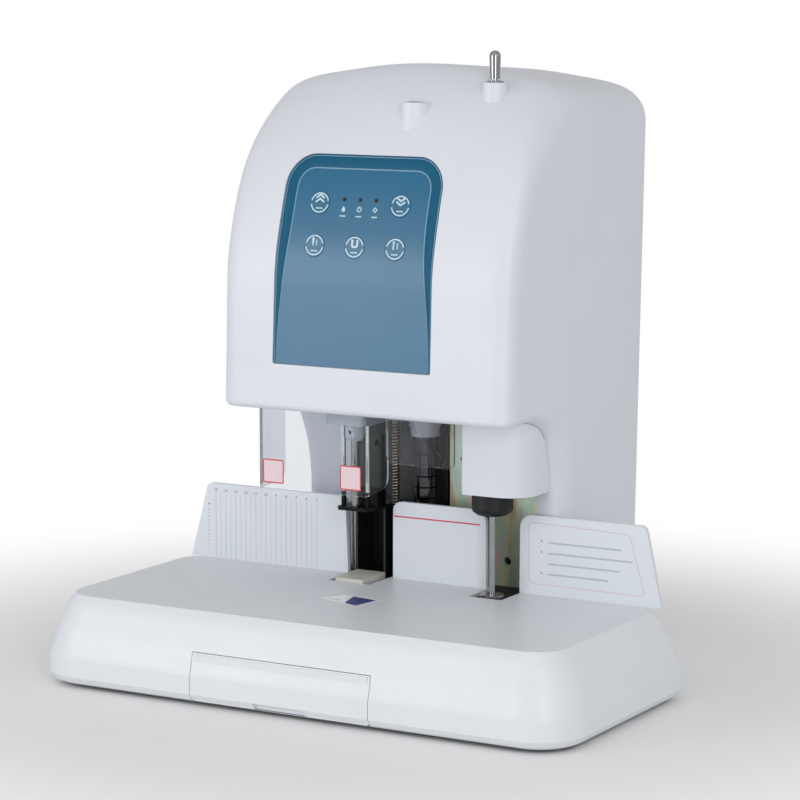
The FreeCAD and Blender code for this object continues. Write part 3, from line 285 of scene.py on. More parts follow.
def film(name, base, shade, roughness, coat):
    material, tree = blank_material(name)
    place = add(tree, "ShaderNodeTexCoord")
    grain = add(tree, "ShaderNodeTexNoise", values={"Scale": per_metre(FILM_GRAIN_MM), "Detail": 2.0},
                links={"Vector": place.outputs["Object"]})
    wave = add(tree, "ShaderNodeTexNoise", values={"Scale": per_metre(FILM_WAVE_MM), "Detail": 1.0},
               links={"Vector": place.outputs["Object"]})
    tone = add(tree, "ShaderNodeMix", {"data_type": "RGBA"},
               {MIX_FIRST: colour(base), MIX_SECOND: colour(shade)}, {MIX_FACTOR: wave.outputs["Fac"]})
    bump = add(tree, "ShaderNodeBump", values={"Distance": 0.000008}, links={"Height": grain.outputs["Fac"]})
    skin = add(tree, "ShaderNodeBsdfPrincipled",
               values={"IOR": 1.25, "Roughness": roughness, "Coat Weight": coat, "Coat Roughness": 0.3},
               links={"Base Color": tone.outputs[MIX_COLOUR], "Normal": bump.outputs["Normal"]})
    add(tree, "ShaderNodeOutputMaterial", links={"Surface": skin.outputs["BSDF"]})
    return material


blue_film = film("blue_polyester_film", "#04648a", "#035c81", roughness=0.5, coat=1.0)
# Over the embossed rim the film is stretched, which dulls its gloss. Its darker blue is painted shade, for
# the shade that falls on the rim's tilted faces.
shaded_rim_film = film("blue_rim_film_with_painted_shade", "#125c7c", "#105473", roughness=0.6, coat=0.1)
print("films ready:", blue_film.name, shaded_rim_film.name)

# %% [markdown]
# ## Metals
# Each metal is told apart by how its surface was made. Turned steel has fine rings round its axis, drawn rod
# has lines along it, and a milled plate has straight tool marks. An anisotropic shader could stand for such
# marks, but noise that is stretched along the tool's path also varies the tone, as real marks do. Real ones
# are a few hundredths of a millimetre wide; here they are half a millimetre or wider, so that they show.
# All keep the default index of refraction and are fully metallic.

# %% A recipe for machined metal
def metal(name, base, shade, roughness, mark_mm, mark_height, stretch):
    # stretch gives the length of the tool marks along x, y and z, as a multiple of their width
    material, tree = blank_material(name)
    place = add(tree, "ShaderNodeTexCoord")
    drawn = add(tree, "ShaderNodeVectorMath", {"operation": "DIVIDE"}, {1: stretch},
                {0: place.outputs["Object"]})
    marks = add(tree, "ShaderNodeTexNoise", values={"Scale": per_metre(mark_mm), "Detail": 3.0},
                links={"Vector": drawn.outputs["Vector"]})
    tone = add(tree, "ShaderNodeMix", {"data_type": "RGBA"},
               {MIX_FIRST: colour(base), MIX_SECOND: colour(shade)}, {MIX_FACTOR: marks.outputs["Fac"]})
    # a darker mark is also duller
    gloss = add(tree, "ShaderNodeMapRange", values={"To Min": roughness * 0.8, "To Max": roughness * 1.3},
                links={"Value": marks.outputs["Fac"]})
    bump = add(tree, "ShaderNodeBump", values={"Distance": mark_height},
               links={"Height": marks.outputs["Fac"]})
    skin = add(tree, "ShaderNodeBsdfPrincipled", values={"Metallic": 1.0},
               links={"Base Color": tone.outputs[MIX_COLOUR], "Roughness": gloss.outputs["Result"],
                      "Normal": bump.outputs["Normal"]})
    add(tree, "ShaderNodeOutputMaterial", links={"Surface": skin.outputs["BSDF"]})
    return material


print("recipe ready:", metal.__name__)

# %% Steel, chrome and aluminium
# Lever, nut and screws: a mirror.
chrome = metal("bright_chrome_plate", "#a9aaad", "#9c9da0", roughness=0.08, mark_mm=2.0,
               mark_height=0.000002, stretch=(1, 1, 1))
# Bit, rivet tip and anvil: bright, with rings round the upright axis.
turned_steel = metal("turned_steel", "#9f9e9b", "#8a8986", roughness=0.22, mark_mm=0.5,
                     mark_height=0.000006, stretch=(12, 12, 1))
# Guide post: long highlights along the rod.
drawn_steel = metal("drawn_steel_rod", "#c4c2bd", "#adaba6", roughness=0.2, mark_mm=0.6,
                    mark_height=0.000005, stretch=(1, 1, 20))
# Spring wire: slightly warm from its tempering.
spring_steel = metal("music_wire", "#d3c9ba", "#b9ad9c", roughness=0.3, mark_mm=0.7,
                     mark_height=0.000004, stretch=(1, 1, 1))
# Ram and its drive: straight, satin tool marks.
milled = metal("milled_aluminium", "#b4b6b8", "#9fa1a4", roughness=0.35, mark_mm=0.5,
               mark_height=0.00001, stretch=(20, 1, 20))
# Posts: oil-blackened, with a low dark sheen.
black_steel = metal("blackened_steel", "#3c3b39", "#2a2a29", roughness=0.42, mark_mm=1.4,
                    mark_height=0.00001, stretch=(1, 1, 3))
# Feed screw: blackened and then ground, so that it still mirrors sharply.
screw_steel = metal("ground_black_screw", "#5a5a5e", "#444447", roughness=0.13, mark_mm=0.8,
                    mark_height=0.000004, stretch=(1, 1, 3))
print("metals:", [m.name for m in (chrome, turned_steel, drawn_steel, spring_steel, milled)])
print("darkened steels:", black_steel.name, screw_steel.name)

# %% [markdown]
# ## Two finishes on one solid
# The stripper foot is one solid, but its plate is blackened and its two rods are ground bright. It could be
# cut in two, but a step at the height where the plate ends changes the tone and the gloss in one material.

# %% Ground rods above a blackened foot
FOOT_TOP = 0.1462
foot_finish, tree = blank_material("ground_rods_and_blackened_foot")
place = add(tree, "ShaderNodeTexCoord")
height = add(tree, "ShaderNodeSeparateXYZ", links={"Vector": place.outputs["Object"]})
marks = add(tree, "ShaderNodeTexNoise", values={"Scale": per_metre(0.8), "Detail": 3.0},
            links={"Vector": place.outputs["Object"]})
rod = add(tree, "ShaderNodeMath", {"operation": "GREATER_THAN"}, {1: FOOT_TOP}, {0: height.outputs["Z"]})
tone = add(tree, "ShaderNodeMix", {"data_type": "RGBA"},
           {MIX_FIRST: colour("#232323"), MIX_SECOND: colour("#dcdcda")}, {MIX_FACTOR: rod.outputs["Value"]})
gloss = add(tree, "ShaderNodeMapRange", values={"To Min": 0.5, "To Max": 0.16},
            links={"Value": rod.outputs["Value"]})
bump = add(tree, "ShaderNodeBump", values={"Distance": 0.000006}, links={"Height": marks.outputs["Fac"]})
skin = add(tree, "ShaderNodeBsdfPrincipled", values={"Metallic": 1.0},
           links={"Base Color": tone.outputs[MIX_COLOUR], "Roughness": gloss.outputs["Result"],
                  "Normal": bump.outputs["Normal"]})
add(tree, "ShaderNodeOutputMaterial", links={"Surface": skin.outputs["BSDF"]})
print("rods are bright above", round(FOOT_TOP / MM, 1), "mm")

# %% [markdown]
# ## Yellow zinc
# The plate behind the rivet station is zinc-plated steel, passivated in chromate. That film is thinner than
# a wavelength of light, so it drifts between yellow, green and pink. A thin-film shader could work the
# colours out, but a few colour stops along a slow noise keep them pale and in a chosen order. They are drawn
# out downwards, as the bath ran off the hung plate.

# %% Yellow chromate on zinc
CLOUD_MM, GRAIN_MM = 24.0, 1.5
HUNG = (1.0, 1.0, 3.0)
FIRST_TONE, LAST_TONE = "#cdb8a4", "#b9ccb2"
TONES = ((0.33, "#d9c4a8"), (0.41, "#e8e5b6"), (0.48, "#cfe4c8"), (0.56, "#c4dfcf"), (0.64, "#e8d2c4"))
zinc, tree = blank_material("yellow_chromate_zinc")
place = add(tree, "ShaderNodeTexCoord")
hung = add(tree, "ShaderNodeVectorMath", {"operation": "DIVIDE"}, {1: HUNG}, {0: place.outputs["Object"]})
cloud = add(tree, "ShaderNodeTexNoise",
            values={"Scale": per_metre(CLOUD_MM), "Detail": 1.0, "Distortion": 0.8},
            links={"Vector": hung.outputs["Vector"]})
bands = add(tree, "ShaderNodeValToRGB", links={"Fac": cloud.outputs["Fac"]})
ramp = bands.color_ramp
for position, code in TONES:
    stop = ramp.elements.new(position)
    stop.color = colour(code)
ramp.elements[0].color = colour(FIRST_TONE)
ramp.elements[-1].color = colour(LAST_TONE)
fine = add(tree, "ShaderNodeTexNoise", values={"Scale": per_metre(GRAIN_MM), "Detail": 4.0},
           links={"Vector": place.outputs["Object"]})
bump = add(tree, "ShaderNodeBump", values={"Distance": 0.00001}, links={"Height": fine.outputs["Fac"]})
# Partly metallic: the film hides most of the zinc's mirror.
skin = add(tree, "ShaderNodeBsdfPrincipled", values={"Metallic": 0.2, "Roughness": 0.4},
           links={"Base Color": bands.outputs["Color"], "Normal": bump.outputs["Normal"]})
add(tree, "ShaderNodeOutputMaterial", links={"Surface": skin.outputs["BSDF"]})
print("chromate tones:", len(ramp.elements))

# %% [markdown]
# ## Clear guards
# The guards are heat-folded acrylic, clear with the faintest grey. Acrylic has an index of 1.49, but in a
# closed folded sheet that index traps light behind the edges, which then turn black. So the body has a
# low index, and a thin coat with the real one carries the gloss. Rays from the lamps, and rays that have
# already bounced four times, pass straight through, so light reaches what stands behind the guard.

# %% Folded acrylic
TRAPPED_AFTER = 3.5
acrylic, tree = blank_material("clear_cast_acrylic")
rays = add(tree, "ShaderNodeLightPath")
place = add(tree, "ShaderNodeTexCoord")
# Traces of wiping, a few centimetres wide, change the gloss.
smear = add(tree, "ShaderNodeTexNoise", values={"Scale": per_metre(25.0), "Detail": 2.0},
            links={"Vector": place.outputs["Object"]})
gloss = add(tree, "ShaderNodeMapRange", values={"To Min": 0.02, "To Max": 0.07},
            links={"Value": smear.outputs["Fac"]})
glass = add(tree, "ShaderNodeBsdfPrincipled",
            values={"Base Color": colour("#e4e7ec"), "IOR": 1.2, "Transmission Weight": 1.0,
                    "Coat Weight": 0.35, "Coat Roughness": 0.03, "Coat IOR": 1.49},
            links={"Roughness": gloss.outputs["Result"]})
open_air = add(tree, "ShaderNodeBsdfTransparent", values={"Color": colour("#f4f6f7")})
trapped = add(tree, "ShaderNodeMath", {"operation": "GREATER_THAN"}, {1: TRAPPED_AFTER},
              {0: rays.outputs["Ray Depth"]})
straight = add(tree, "ShaderNodeMath", {"operation": "MAXIMUM"},
               links={0: rays.outputs["Is Shadow Ray"], 1: trapped.outputs["Value"]})
pane = add(tree, "ShaderNodeMixShader",
           links={0: straight.outputs["Value"], 1: glass.outputs["BSDF"], 2: open_air.outputs["BSDF"]})
add(tree, "ShaderNodeOutputMaterial", links={"Surface": pane.outputs["Shader"]})
print("clear finish:", acrylic.name)

# %% [markdown]
# ## Printing inks and stickers
# Screen-printed ink is a few hundredths of a millimetre thick and a little glossier than the plastic. Fine
# noise breaks its tone, as pinholes in a real print do. An image could carry all prints at once, but it
# would have to be unwrapped onto curved skins. Sticker paper and film take the same recipe with more gloss.

# %% Inks
def ink(name, base, shade, roughness=0.4):
    return moulded(name, base, shade, roughness, ripple_mm=0.7, ripple_height=0.000004, drift_mm=4.0)


pale_ink = ink("pale_blue_ink", "#c3dbe6", "#b5cfdc")
# Pale blue for the two lines along the rim: a painted highlight on the ridge's edges, not a print.
rim_highlight_ink = ink("painted_highlight_rim_ink", "#7fa5bb", "#7199b0")
red_ink = ink("red_ink", "#d2434f", "#c93b48")
pink_ink = ink("pale_red_ink", "#dfb5be", "#d8abb5")
faint_red_ink = ink("faint_red_ink", "#dccad2", "#d6c2cb")
green_ink = ink("pale_green_ink", "#b7cbd0", "#adc3c8")
grey_ink = ink("grey_ink", "#737b88", "#69717e")
pale_grey_ink = ink("pale_grey_ink", "#b9c0ca", "#b1b8c3")
navy_ink = ink("navy_ink", "#3b4288", "#343b7c")
sticker_white = ink("sticker_paper_white", "#fbfbfd", "#f6f6fa", roughness=0.25)
rose_film = ink("rose_sticker_film", "#ecd5d9", "#e6cbd0", roughness=0.3)
print("inks and papers:", len([m for m in bpy.data.materials if "ink" in m.name or "sticker" in m.name]))

# %% [markdown]
# ## Which solid gets which finish
# A solid keeps its own shape; only the finish in its slot changes. One table holds all of them, which is
# easier to check than a line for each, and the last line names any solid that the table forgets.

# %% Finishes of the imported solids
# The throat panel's grey finish is painted shade, not the colour of its plastic.
FINISH = {
    "base_shell": table_abs, "body_shell": white_abs, "rear_cover": white_abs, "chip_drawer": table_abs,
    "rivet_shroud": white_abs, "fence_left": fence_abs, "fence_centre": fence_abs, "fence_right": fence_abs,
    "throat_panel": painted_shade_grey_abs, "control_panel": blue_film, "key_up": blue_film, "key_down": blue_film,
    "key_drill": blue_film, "key_power": blue_film, "key_rivet": blue_film, "panel_lights": lens_black,
    "base_plate": dark_coat, "frame_bed": dark_coat, "frame_top": dark_coat, "drill_frame": dark_coat,
    "rivet_frame": zinc, "rivet_post": black_steel, "guide_post": drawn_steel, "spring_post": black_steel,
    "bed_spacers": turned_steel, "chip_chute": black_nylon, "drill_pad": pad_nylon, "anvil": turned_steel,
    "guide_pin": chrome, "drill_carriage": cast_paint, "screw_nut": white_nylon, "feed_screw": screw_steel,
    "screw_bearing": turned_steel, "drill_motor": dark_coat, "drill_chuck": cast_paint,
    "drill_bit": turned_steel, "stripper_foot": foot_finish, "return_spring": spring_steel,
    "feed_motor": dark_coat, "rivet_ram": milled, "rivet_head": black_nylon, "rivet_tip": turned_steel,
    "ram_actuator": milled, "drill_guard": acrylic, "rivet_guard": acrylic, "toggle_bush": chrome,
    "toggle_nut": chrome, "toggle_lever": chrome, "toggle_body": black_nylon, "mains_inlet": black_nylon,
    "key_board": dark_coat, "main_board": dark_coat, "power_supply": milled,
    "plate_screws": chrome, "cover_screws": chrome,
    "foot_front_left": rubber, "foot_front_right": rubber, "foot_rear_left": rubber,
    "foot_rear_right": rubber,
}
for name, solid in nodes.items():
    for slot in solid.material_slots:
        slot.material = FINISH.get(name, painted_shade_grey_abs)
print("without a finish of their own:", [n for n in nodes if n not in FINISH])

# %% [markdown]
# ## Printing on a curved surface
# A printed mark is drawn flat, in millimetres, and then pressed onto the plastic: a ray from each corner
# finds the surface, and the corner is set down a tenth of a millimetre or so above it, more than a real ink,
# so that no curve cuts through the mark. A shrinkwrap modifier could do this too, but it may pull a corner
# sideways to a nearer wall, and a straight ray can't. A solidify modifier makes each mark a closed shape.

# %% A press for printed marks
# How far above its board a ray starts, and below which length a cross product tells a board that lies flat.
START_ABOVE = 0.03
LYING_FLAT = 0.1


class Press:
    # a flat drawing board at a node's skin, with its middle at centre, that faces outwards along face
    def __init__(self, node, centre, face):
        mesh = nodes[node].data
        self.tree = BVHTree.FromPolygons([v.co for v in mesh.vertices],
                                         [list(p.vertices) for p in mesh.polygons])
        self.centre = Vector(centre)
        self.out = Vector(face).normalized()
        self.across = Vector((0, 0, 1)).cross(self.out)
        if self.across.length < LYING_FLAT:
            self.across = Vector((1, 0, 0))
        self.across.normalize()
        self.rise = self.out.cross(self.across)

    def down(self, x, y, lift):
        # the point on the surface under (x, y) in millimetres, lifted by lift
        on_board = self.centre + (self.across * x + self.rise * y) * MM
        hit = self.tree.ray_cast(on_board + self.out * START_ABOVE, -self.out)[0]
        if hit is None:
            hit = on_board
        return hit + self.out * lift


print("press ready, rays start", round(START_ABOVE / MM), "mm above the board")

# %% A piece, and a mark as a piece
INK = {"lift": 0.00009, "thickness": 0.00006}


def add_piece(name, mesh, finish, body):
    # every new piece has a finish and rides on a body
    made = bpy.data.objects.new(name, mesh)
    bpy.context.scene.collection.objects.link(made)
    made.data.materials.append(finish)
    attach(made, body)
    return made


def mark(name, press, shapes, finish, body="machine", layer=INK):
    # shapes: lists of (corners, faces), corners in millimetres on the press
    corners, faces = [], []
    for points, polygons in shapes:
        start = len(corners)
        corners += [press.down(x, y, layer["lift"]) for x, y in points]
        faces += [[start + k for k in polygon] for polygon in polygons]
    mesh = bpy.data.meshes.new(name)
    mesh.from_pydata(corners, [], faces)
    mesh.update()
    build = bmesh.new()
    build.from_mesh(mesh)
    bmesh.ops.recalc_face_normals(build, faces=build.faces)
    for face in build.faces:
        if face.normal.dot(press.out) < 0:
            face.normal_flip()
    build.to_mesh(mesh)
    build.free()
    made = add_piece(name, mesh, finish, body)
    skin = made.modifiers.new("ink_thickness", "SOLIDIFY")
    skin.thickness = layer["thickness"]
    skin.offset = -1.0


print("ink stands", round(INK["lift"] / MM, 2), "mm proud")

# %% The shapes that marks are made of
MITRE_LIMIT = 0.4


def band(x, y, inner, outer, start=0, end=360, steps=20):
    # part of a ring, from angle start to angle end in degrees
    points = []
    for k in range(steps + 1):
        a = math.radians(start + (end - start) * k / steps)
        points += [(x + r * math.cos(a), y + r * math.sin(a)) for r in (inner, outer)]
    return points, [[2 * k, 2 * k + 1, 2 * k + 3, 2 * k + 2] for k in range(steps)]


def stroke(path, width):
    # a line of even width through a few points, with mitred corners
    points = []
    for k, (x, y) in enumerate(path):
        before = Vector(path[max(0, k - 1)])
        after = Vector(path[min(len(path) - 1, k + 1)])
        here = Vector((x, y))
        first = (here - before).normalized() if k > 0 else (after - here).normalized()
        second = (after - here).normalized() if k < len(path) - 1 else first
        normal = Vector((-(first + second).y, (first + second).x)).normalized()
        reach = width / 2.0 / max(MITRE_LIMIT, normal.dot(Vector((-first.y, first.x))))
        points += [(x + normal.x * side, y + normal.y * side) for side in (reach, -reach)]
    return points, [[2 * k, 2 * k + 1, 2 * k + 3, 2 * k + 2] for k in range(len(path) - 1)]


def patch(x0, y0, x1, y1, cells_x=1, cells_y=1):
    # a rectangle, cut into cells so that it can bend with the surface
    points = [(x0 + (x1 - x0) * i / cells_x, y0 + (y1 - y0) * j / cells_y)
              for j in range(cells_y + 1) for i in range(cells_x + 1)]
    row = cells_x + 1
    return points, [[j * row + i, j * row + i + 1, (j + 1) * row + i + 1, (j + 1) * row + i]
                    for j in range(cells_y) for i in range(cells_x)]


def filled(path):
    # one flat face inside a closed path
    return path, [list(range(len(path)))]


print("shapes:", band.__name__, stroke.__name__, patch.__name__, filled.__name__)

# %% [markdown]
# ## Marks on the keys
# Each key shows a ring in two arcs with a pictogram inside: double arrows to raise and lower the spindle, a
# drill, an open rivet and a closed one. Short strokes draw them all, and each is pressed onto its own key
# and rides with it, so the ink moves when the key is pressed.

# %% Key rings and pictograms
RING_INNER, RING_OUTER, RING_STEPS = 7.1, 8.2, 28
CHEVRON_HALF, CHEVRON_STEP, CHEVRON_WIDTH = 3.9, 3.3, 1.5


def middle(node):
    low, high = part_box(node)
    return (low + high) / 2.0


def arrows(y, rise):
    # two chevrons, one above the other
    return [stroke([(-CHEVRON_HALF, y + k), (0, y + k + rise), (CHEVRON_HALF, y + k)], CHEVRON_WIDTH)
            for k in (0.0, CHEVRON_STEP)]


OPEN_RIVET = [(-2.3, 5.8), (-2.3, 1.2), (-1.5, 0.1), (1.5, 0.1), (2.3, 1.2), (2.3, 5.8)]
PICTOGRAMS = {
    "key_up": arrows(0.4, 2.8),
    "key_down": arrows(3.2, -2.8),
    "key_drill": [stroke([(-1.4, 6.0), (-1.4, 1.4)], 2.0), stroke([(-1.4, 1.5), (-1.4, -0.6)], 0.9),
                  stroke([(1.8, 4.4), (1.8, -0.2)], 0.9)],
    "key_power": [stroke(OPEN_RIVET, 1.8)],
    "key_rivet": [stroke([(-1.5, 6.0), (-1.5, 5.0)], 2.2), stroke([(-1.5, 5.1), (-1.5, -0.6)], 1.3),
                  stroke([(1.9, 4.6), (1.9, -0.2)], 0.9)],
}
KEY_BODY = {"key_up": "up_key", "key_down": "down_key", "key_drill": "drill_key", "key_power": "power_key",
            "key_rivet": "rivet_key"}
PANEL_OUT = (0.0, -0.97, 0.24)
for key, drawing in PICTOGRAMS.items():
    ring = [band(0, 0, RING_INNER, RING_OUTER, start, end, RING_STEPS)
            for start, end in ((12, 168), (190, 350))]
    under = [patch(-3.0, -4.9, 3.0, -3.9, 4, 1)]
    mark("mark_" + key, Press(key, middle(key), PANEL_OUT), ring + drawing + under, pale_ink,
         KEY_BODY[key])
print("key marks:", len(PICTOGRAMS))

# %% [markdown]
# ## The panel's rim
# The film is embossed: a low ridge follows the sides and the rounded top, with a fine pale line at its outer
# and its inner foot. The pale lines are a painted highlight on the ridge's edges, and the ridge's darker blue
# is painted shade. A bevelled curve could make the ridge, but it would not lie on the panel's bulge. So a
# short cross-section is swept along the rim, and every point of it is pressed onto the panel. Towards the two
# lower ends it draws in to the panel's edge and dies away.

# %% The path of the rim
# The panel's edges in the frame, and the radius of its upper corners.
PANEL_LEFT, PANEL_RIGHT, PANEL_LOW, PANEL_HIGH, PANEL_ROUND = -81.2, 62.3, 256.5, 422.2, 25.0
SIDE_LEAN, SIDE_LENGTH = 1.5, 165.0
TIGHTEST_ROUND = 3.0
ROUND_STEPS, TOP_STEPS, SIDE_STEPS = 10, 12, 16
# A very short first step keeps the shading of the flat end off the long side.
CLIMB = [0.0, 0.002] + [k / SIDE_STEPS for k in range(1, SIDE_STEPS)]


def rim_path(inset, low):
    # up the left side from the height low, round the top and down the right side, in millimetres
    left = PANEL_LEFT + SIDE_LEAN + inset
    right_side = PANEL_RIGHT - inset
    top = PANEL_HIGH - inset
    r = max(TIGHTEST_ROUND, PANEL_ROUND - inset)
    side = top - r - low
    points = [(left - SIDE_LEAN * (PANEL_HIGH - low - side * share) / SIDE_LENGTH, low + side * share)
              for share in CLIMB]
    for centre_x, start in ((left + r, 180.0), (right_side - r, 90.0)):
        for k in range(ROUND_STEPS + 1):
            a = math.radians(start - 90.0 * k / ROUND_STEPS)
            points.append((centre_x + r * math.cos(a), top - r + r * math.sin(a)))
        if start == 180.0:
            points += [(left + r + (right_side - left - 2 * r) * k / TOP_STEPS, top)
                       for k in range(1, TOP_STEPS)]
    points += [(right_side, low + side * share) for share in reversed(CLIMB)]
    return points


print("rim points:", len(rim_path(5.0, PANEL_LOW)))

# %% Embossed rim and its two lines
RIM_LOW = PANEL_LOW + 1.0
RIM_EDGE = 1.0
# The rim draws in over this height above its lower ends, to this share of its width and height.
PINCH, END_SHARE = 120.0, 0.1
# No raised point comes closer to the film than this, and the closed back lies this far inside it.
LEAST_PROUD, SUNK = 0.03, -0.12
FORWARD = Vector((0, -1, 0))
panel_spot = Vector((0.0, middle("control_panel").y, 0.34))
panel_press = Press("control_panel", panel_spot, FORWARD)


def closed_mesh(name, build):
    # a finished bmesh as a mesh whose faces all look outwards
    bmesh.ops.recalc_face_normals(build, faces=build.faces)
    mesh = bpy.data.meshes.new(name)
    build.to_mesh(mesh)
    build.free()
    return mesh


def ridge(name, profile, finish):
    # a strip with the cross-section profile, (inset, height) in millimetres, along the rim
    build = bmesh.new()
    rows = []
    edge = rim_path(RIM_EDGE, RIM_LOW)
    for inset, height in profile + [(profile[-1][0], SUNK), (profile[0][0], SUNK)]:
        row = []
        for (x, z), (edge_x, edge_z) in zip(rim_path(inset, RIM_LOW), edge):
            share = min(1.0, (edge_z - RIM_LOW) / PINCH)
            share = END_SHARE + (1.0 - END_SHARE) * share * share * (3.0 - 2.0 * share)
            x, z = edge_x + (x - edge_x) * share, edge_z + (z - edge_z) * share
            foot = panel_press.down(x - panel_spot.x / MM, z - panel_spot.z / MM, 0.0)
            proud = max(height * share, LEAST_PROUD) if height > 0.0 else height
            row.append(build.verts.new(foot + FORWARD * proud * MM))
        rows.append(row)
    for strip, (upper, lower) in enumerate(zip(rows, rows[1:] + rows[:1])):
        for k in range(len(upper) - 1):
            face = build.faces.new((upper[k], upper[k + 1], lower[k + 1], lower[k]))
            face.smooth = strip < len(profile) - 1
    for k in (0, -1):
        build.faces.new([row[k] for row in rows])
    add_piece(name, closed_mesh(name, build), finish, "machine")


# The two pale lines are a painted highlight on the rim's edges, and the darker rim between them is painted
# shade.
ridge("panel_edge", [(1.0, 0.0), (1.1, 0.55), (1.6, 0.6), (1.7, 0.0)], rim_highlight_ink)
ridge("panel_rim", [(1.7, 0.0), (1.9, 0.7), (3.0, 0.9), (9.9, 0.08), (10.1, 0.0)], shaded_rim_film)
ridge("panel_line", [(10.2, 0.0), (10.4, 0.16), (11.0, 0.16), (11.2, 0.0)], rim_highlight_ink)
print("the rim starts at", RIM_LOW, "mm and is full from", RIM_LOW + PINCH, "mm")

# %% [markdown]
# ## Signs under the lamps
# Under each lamp of the panel stands a small sign: a drop for the heater, a ring for the motor and a diamond
# for a fault, each with a short rule below it. They are one print, because nothing moves them apart.

# %% Drop, ring and diamond
LAMP_X = (-24.0, -9.6, 4.8)
SIGN_Z = 380.3
drop_x, ring_x, diamond_x = LAMP_X
drop = [(drop_x + 1.7 * math.cos(math.radians(a)), -0.8 + 1.6 * math.sin(math.radians(a)))
        for a in range(150, 391, 20)] + [(drop_x, 2.4)]
diamond = [(diamond_x + x, y) for r in (2.4, 1.2) for x, y in ((0, -r), (r, 0), (0, r), (-r, 0))]
signs = [filled(drop),
         band(ring_x, 0.0, 1.3, 2.2, 110, 430),
         stroke([(ring_x, 2.4), (ring_x, 0.4)], 0.8),
         (diamond, [[k, (k + 1) % 4, (k + 1) % 4 + 4, k + 4] for k in range(4)])]
signs += [patch(x - 2.6, -6.2, x + 2.6, -5.2, 3, 1) for x in LAMP_X]
sign_press = Press("control_panel", (0.0, middle("control_panel").y, SIGN_Z * MM), PANEL_OUT)
mark("lamp_signs", sign_press, signs, pale_ink)
print("lamp signs:", len(LAMP_X))

# %% [markdown]
# ## Ruler on the left fence
# The left fence carries a scale in centimetres from the drill's axis, with a vertical line at every half, so
# that each stack is pushed to the same place. The numbers are the outline font that Blender carries. A text
# object could lie on the fence as it is, but as flat corners and faces they are pressed on like any mark.

# %% Numbers as flat shapes
def number(text, x, y, size):
    curve = bpy.data.curves.new("number", "FONT")
    curve.body = text
    curve.size = size
    curve.align_x = "CENTER"
    curve.resolution_u = 3
    holder = bpy.data.objects.new("number", curve)
    bpy.context.scene.collection.objects.link(holder)
    bpy.context.view_layer.update()
    mesh = bpy.data.meshes.new_from_object(holder.evaluated_get(bpy.context.evaluated_depsgraph_get()))
    points = [(x + v.co.x, y + v.co.y) for v in mesh.vertices]
    polygons = [list(p.vertices) for p in mesh.polygons]
    bpy.data.objects.remove(holder)
    bpy.data.meshes.remove(mesh)
    bpy.data.curves.remove(curve)
    return points, polygons


print("recipe ready:", number.__name__)

# %% Scale in centimetres
FENCE_Y = 0.0255
FIRST_NUMBER, LAST_NUMBER = 15, 5
FIRST_X, CENTIMETRE, HALF_BACK = -53.8, 10.02, 5.05
LINE_LOW, LINE_HIGH, LINE_HALF = -31.0, 23.6, 0.25
NUMBER_Y, NUMBER_SIZE = 25.2, 3.6
fence = Press("fence_left", (-0.14, FENCE_Y, 0.105), FORWARD)


def upright(x):
    return patch(x - LINE_HALF, LINE_LOW, x + LINE_HALF, LINE_HIGH, 1, 6)


numbers = range(FIRST_NUMBER, LAST_NUMBER - 1, -1)
places = [FIRST_X + CENTIMETRE * k for k in range(len(numbers))]
digits = [number(str(n), x, NUMBER_Y, NUMBER_SIZE) for n, x in zip(numbers, places)]
mark("ruler_numbers", fence, digits, grey_ink)
mark("ruler_centimetres", fence, [upright(x) for x in places], green_ink)
mark("ruler_halves", fence, [upright(x - HALF_BACK) for x in places[1:]], faint_red_ink)
mark("ruler_dots", fence, [band(-61.0, y, 0.0, 0.45, steps=8) for y in range(-21, 11, 3)], red_ink)
mark("ruler_pin_mark", fence, [band(-60.7, 13.8, 0.0, 0.8, steps=12)], grey_ink)
print("ruler from", numbers[0], "to", numbers[-1])

# %% [markdown]
# ## Prints on the other fences
# A red line on the centre fence marks how high a stack may be. The right fence has an empty field with ruled
# lines, where a user may write. An image could hold them, but plain rectangles, dots and one outline of even
# width are enough, pressed on like the scale.

# %% Height line
LIMIT_Z = 0.1247
centre_press = Press("fence_centre", (0.02, FENCE_Y, LIMIT_Z), FORWARD)
mark("height_line", centre_press, [patch(-39.6, -0.6, 40.3, 0.6, 8, 1)], red_ink)
print("height line at", round(LIMIT_Z / MM, 1), "mm")


# %% Ruled field
def rounded(corners, r, steps=6):
    # a closed path with its corners rounded
    path = []
    for k, corner in enumerate(corners):
        here = Vector(corner)
        before = (Vector(corners[k - 1]) - here).normalized()
        after = (Vector(corners[(k + 1) % len(corners)]) - here).normalized()
        for step in range(steps + 1):
            t = step / steps
            first = here + before * r * (1 - t)
            second = here + after * r * t
            path.append(tuple(first.lerp(second, t)))
    return path


def outline(corners, r, width):
    # a closed line of even width along rounded corners
    path = rounded(corners, r)
    middle_point = sum((Vector(p) for p in path), Vector((0, 0))) / len(path)
    outer, inner = [], []
    for k, point in enumerate(path):
        along = (Vector(path[(k + 1) % len(path)]) - Vector(path[k - 1])).normalized()
        side = Vector((-along.y, along.x)) * width / 2.0
        if side.dot(Vector(point) - middle_point) < 0:
            side = -side
        outer.append(tuple(Vector(point) + side))
        inner.append(tuple(Vector(point) - side))
    n = len(path)
    return outer + inner, [[k, (k + 1) % n, (k + 1) % n + n, k + n] for k in range(n)]


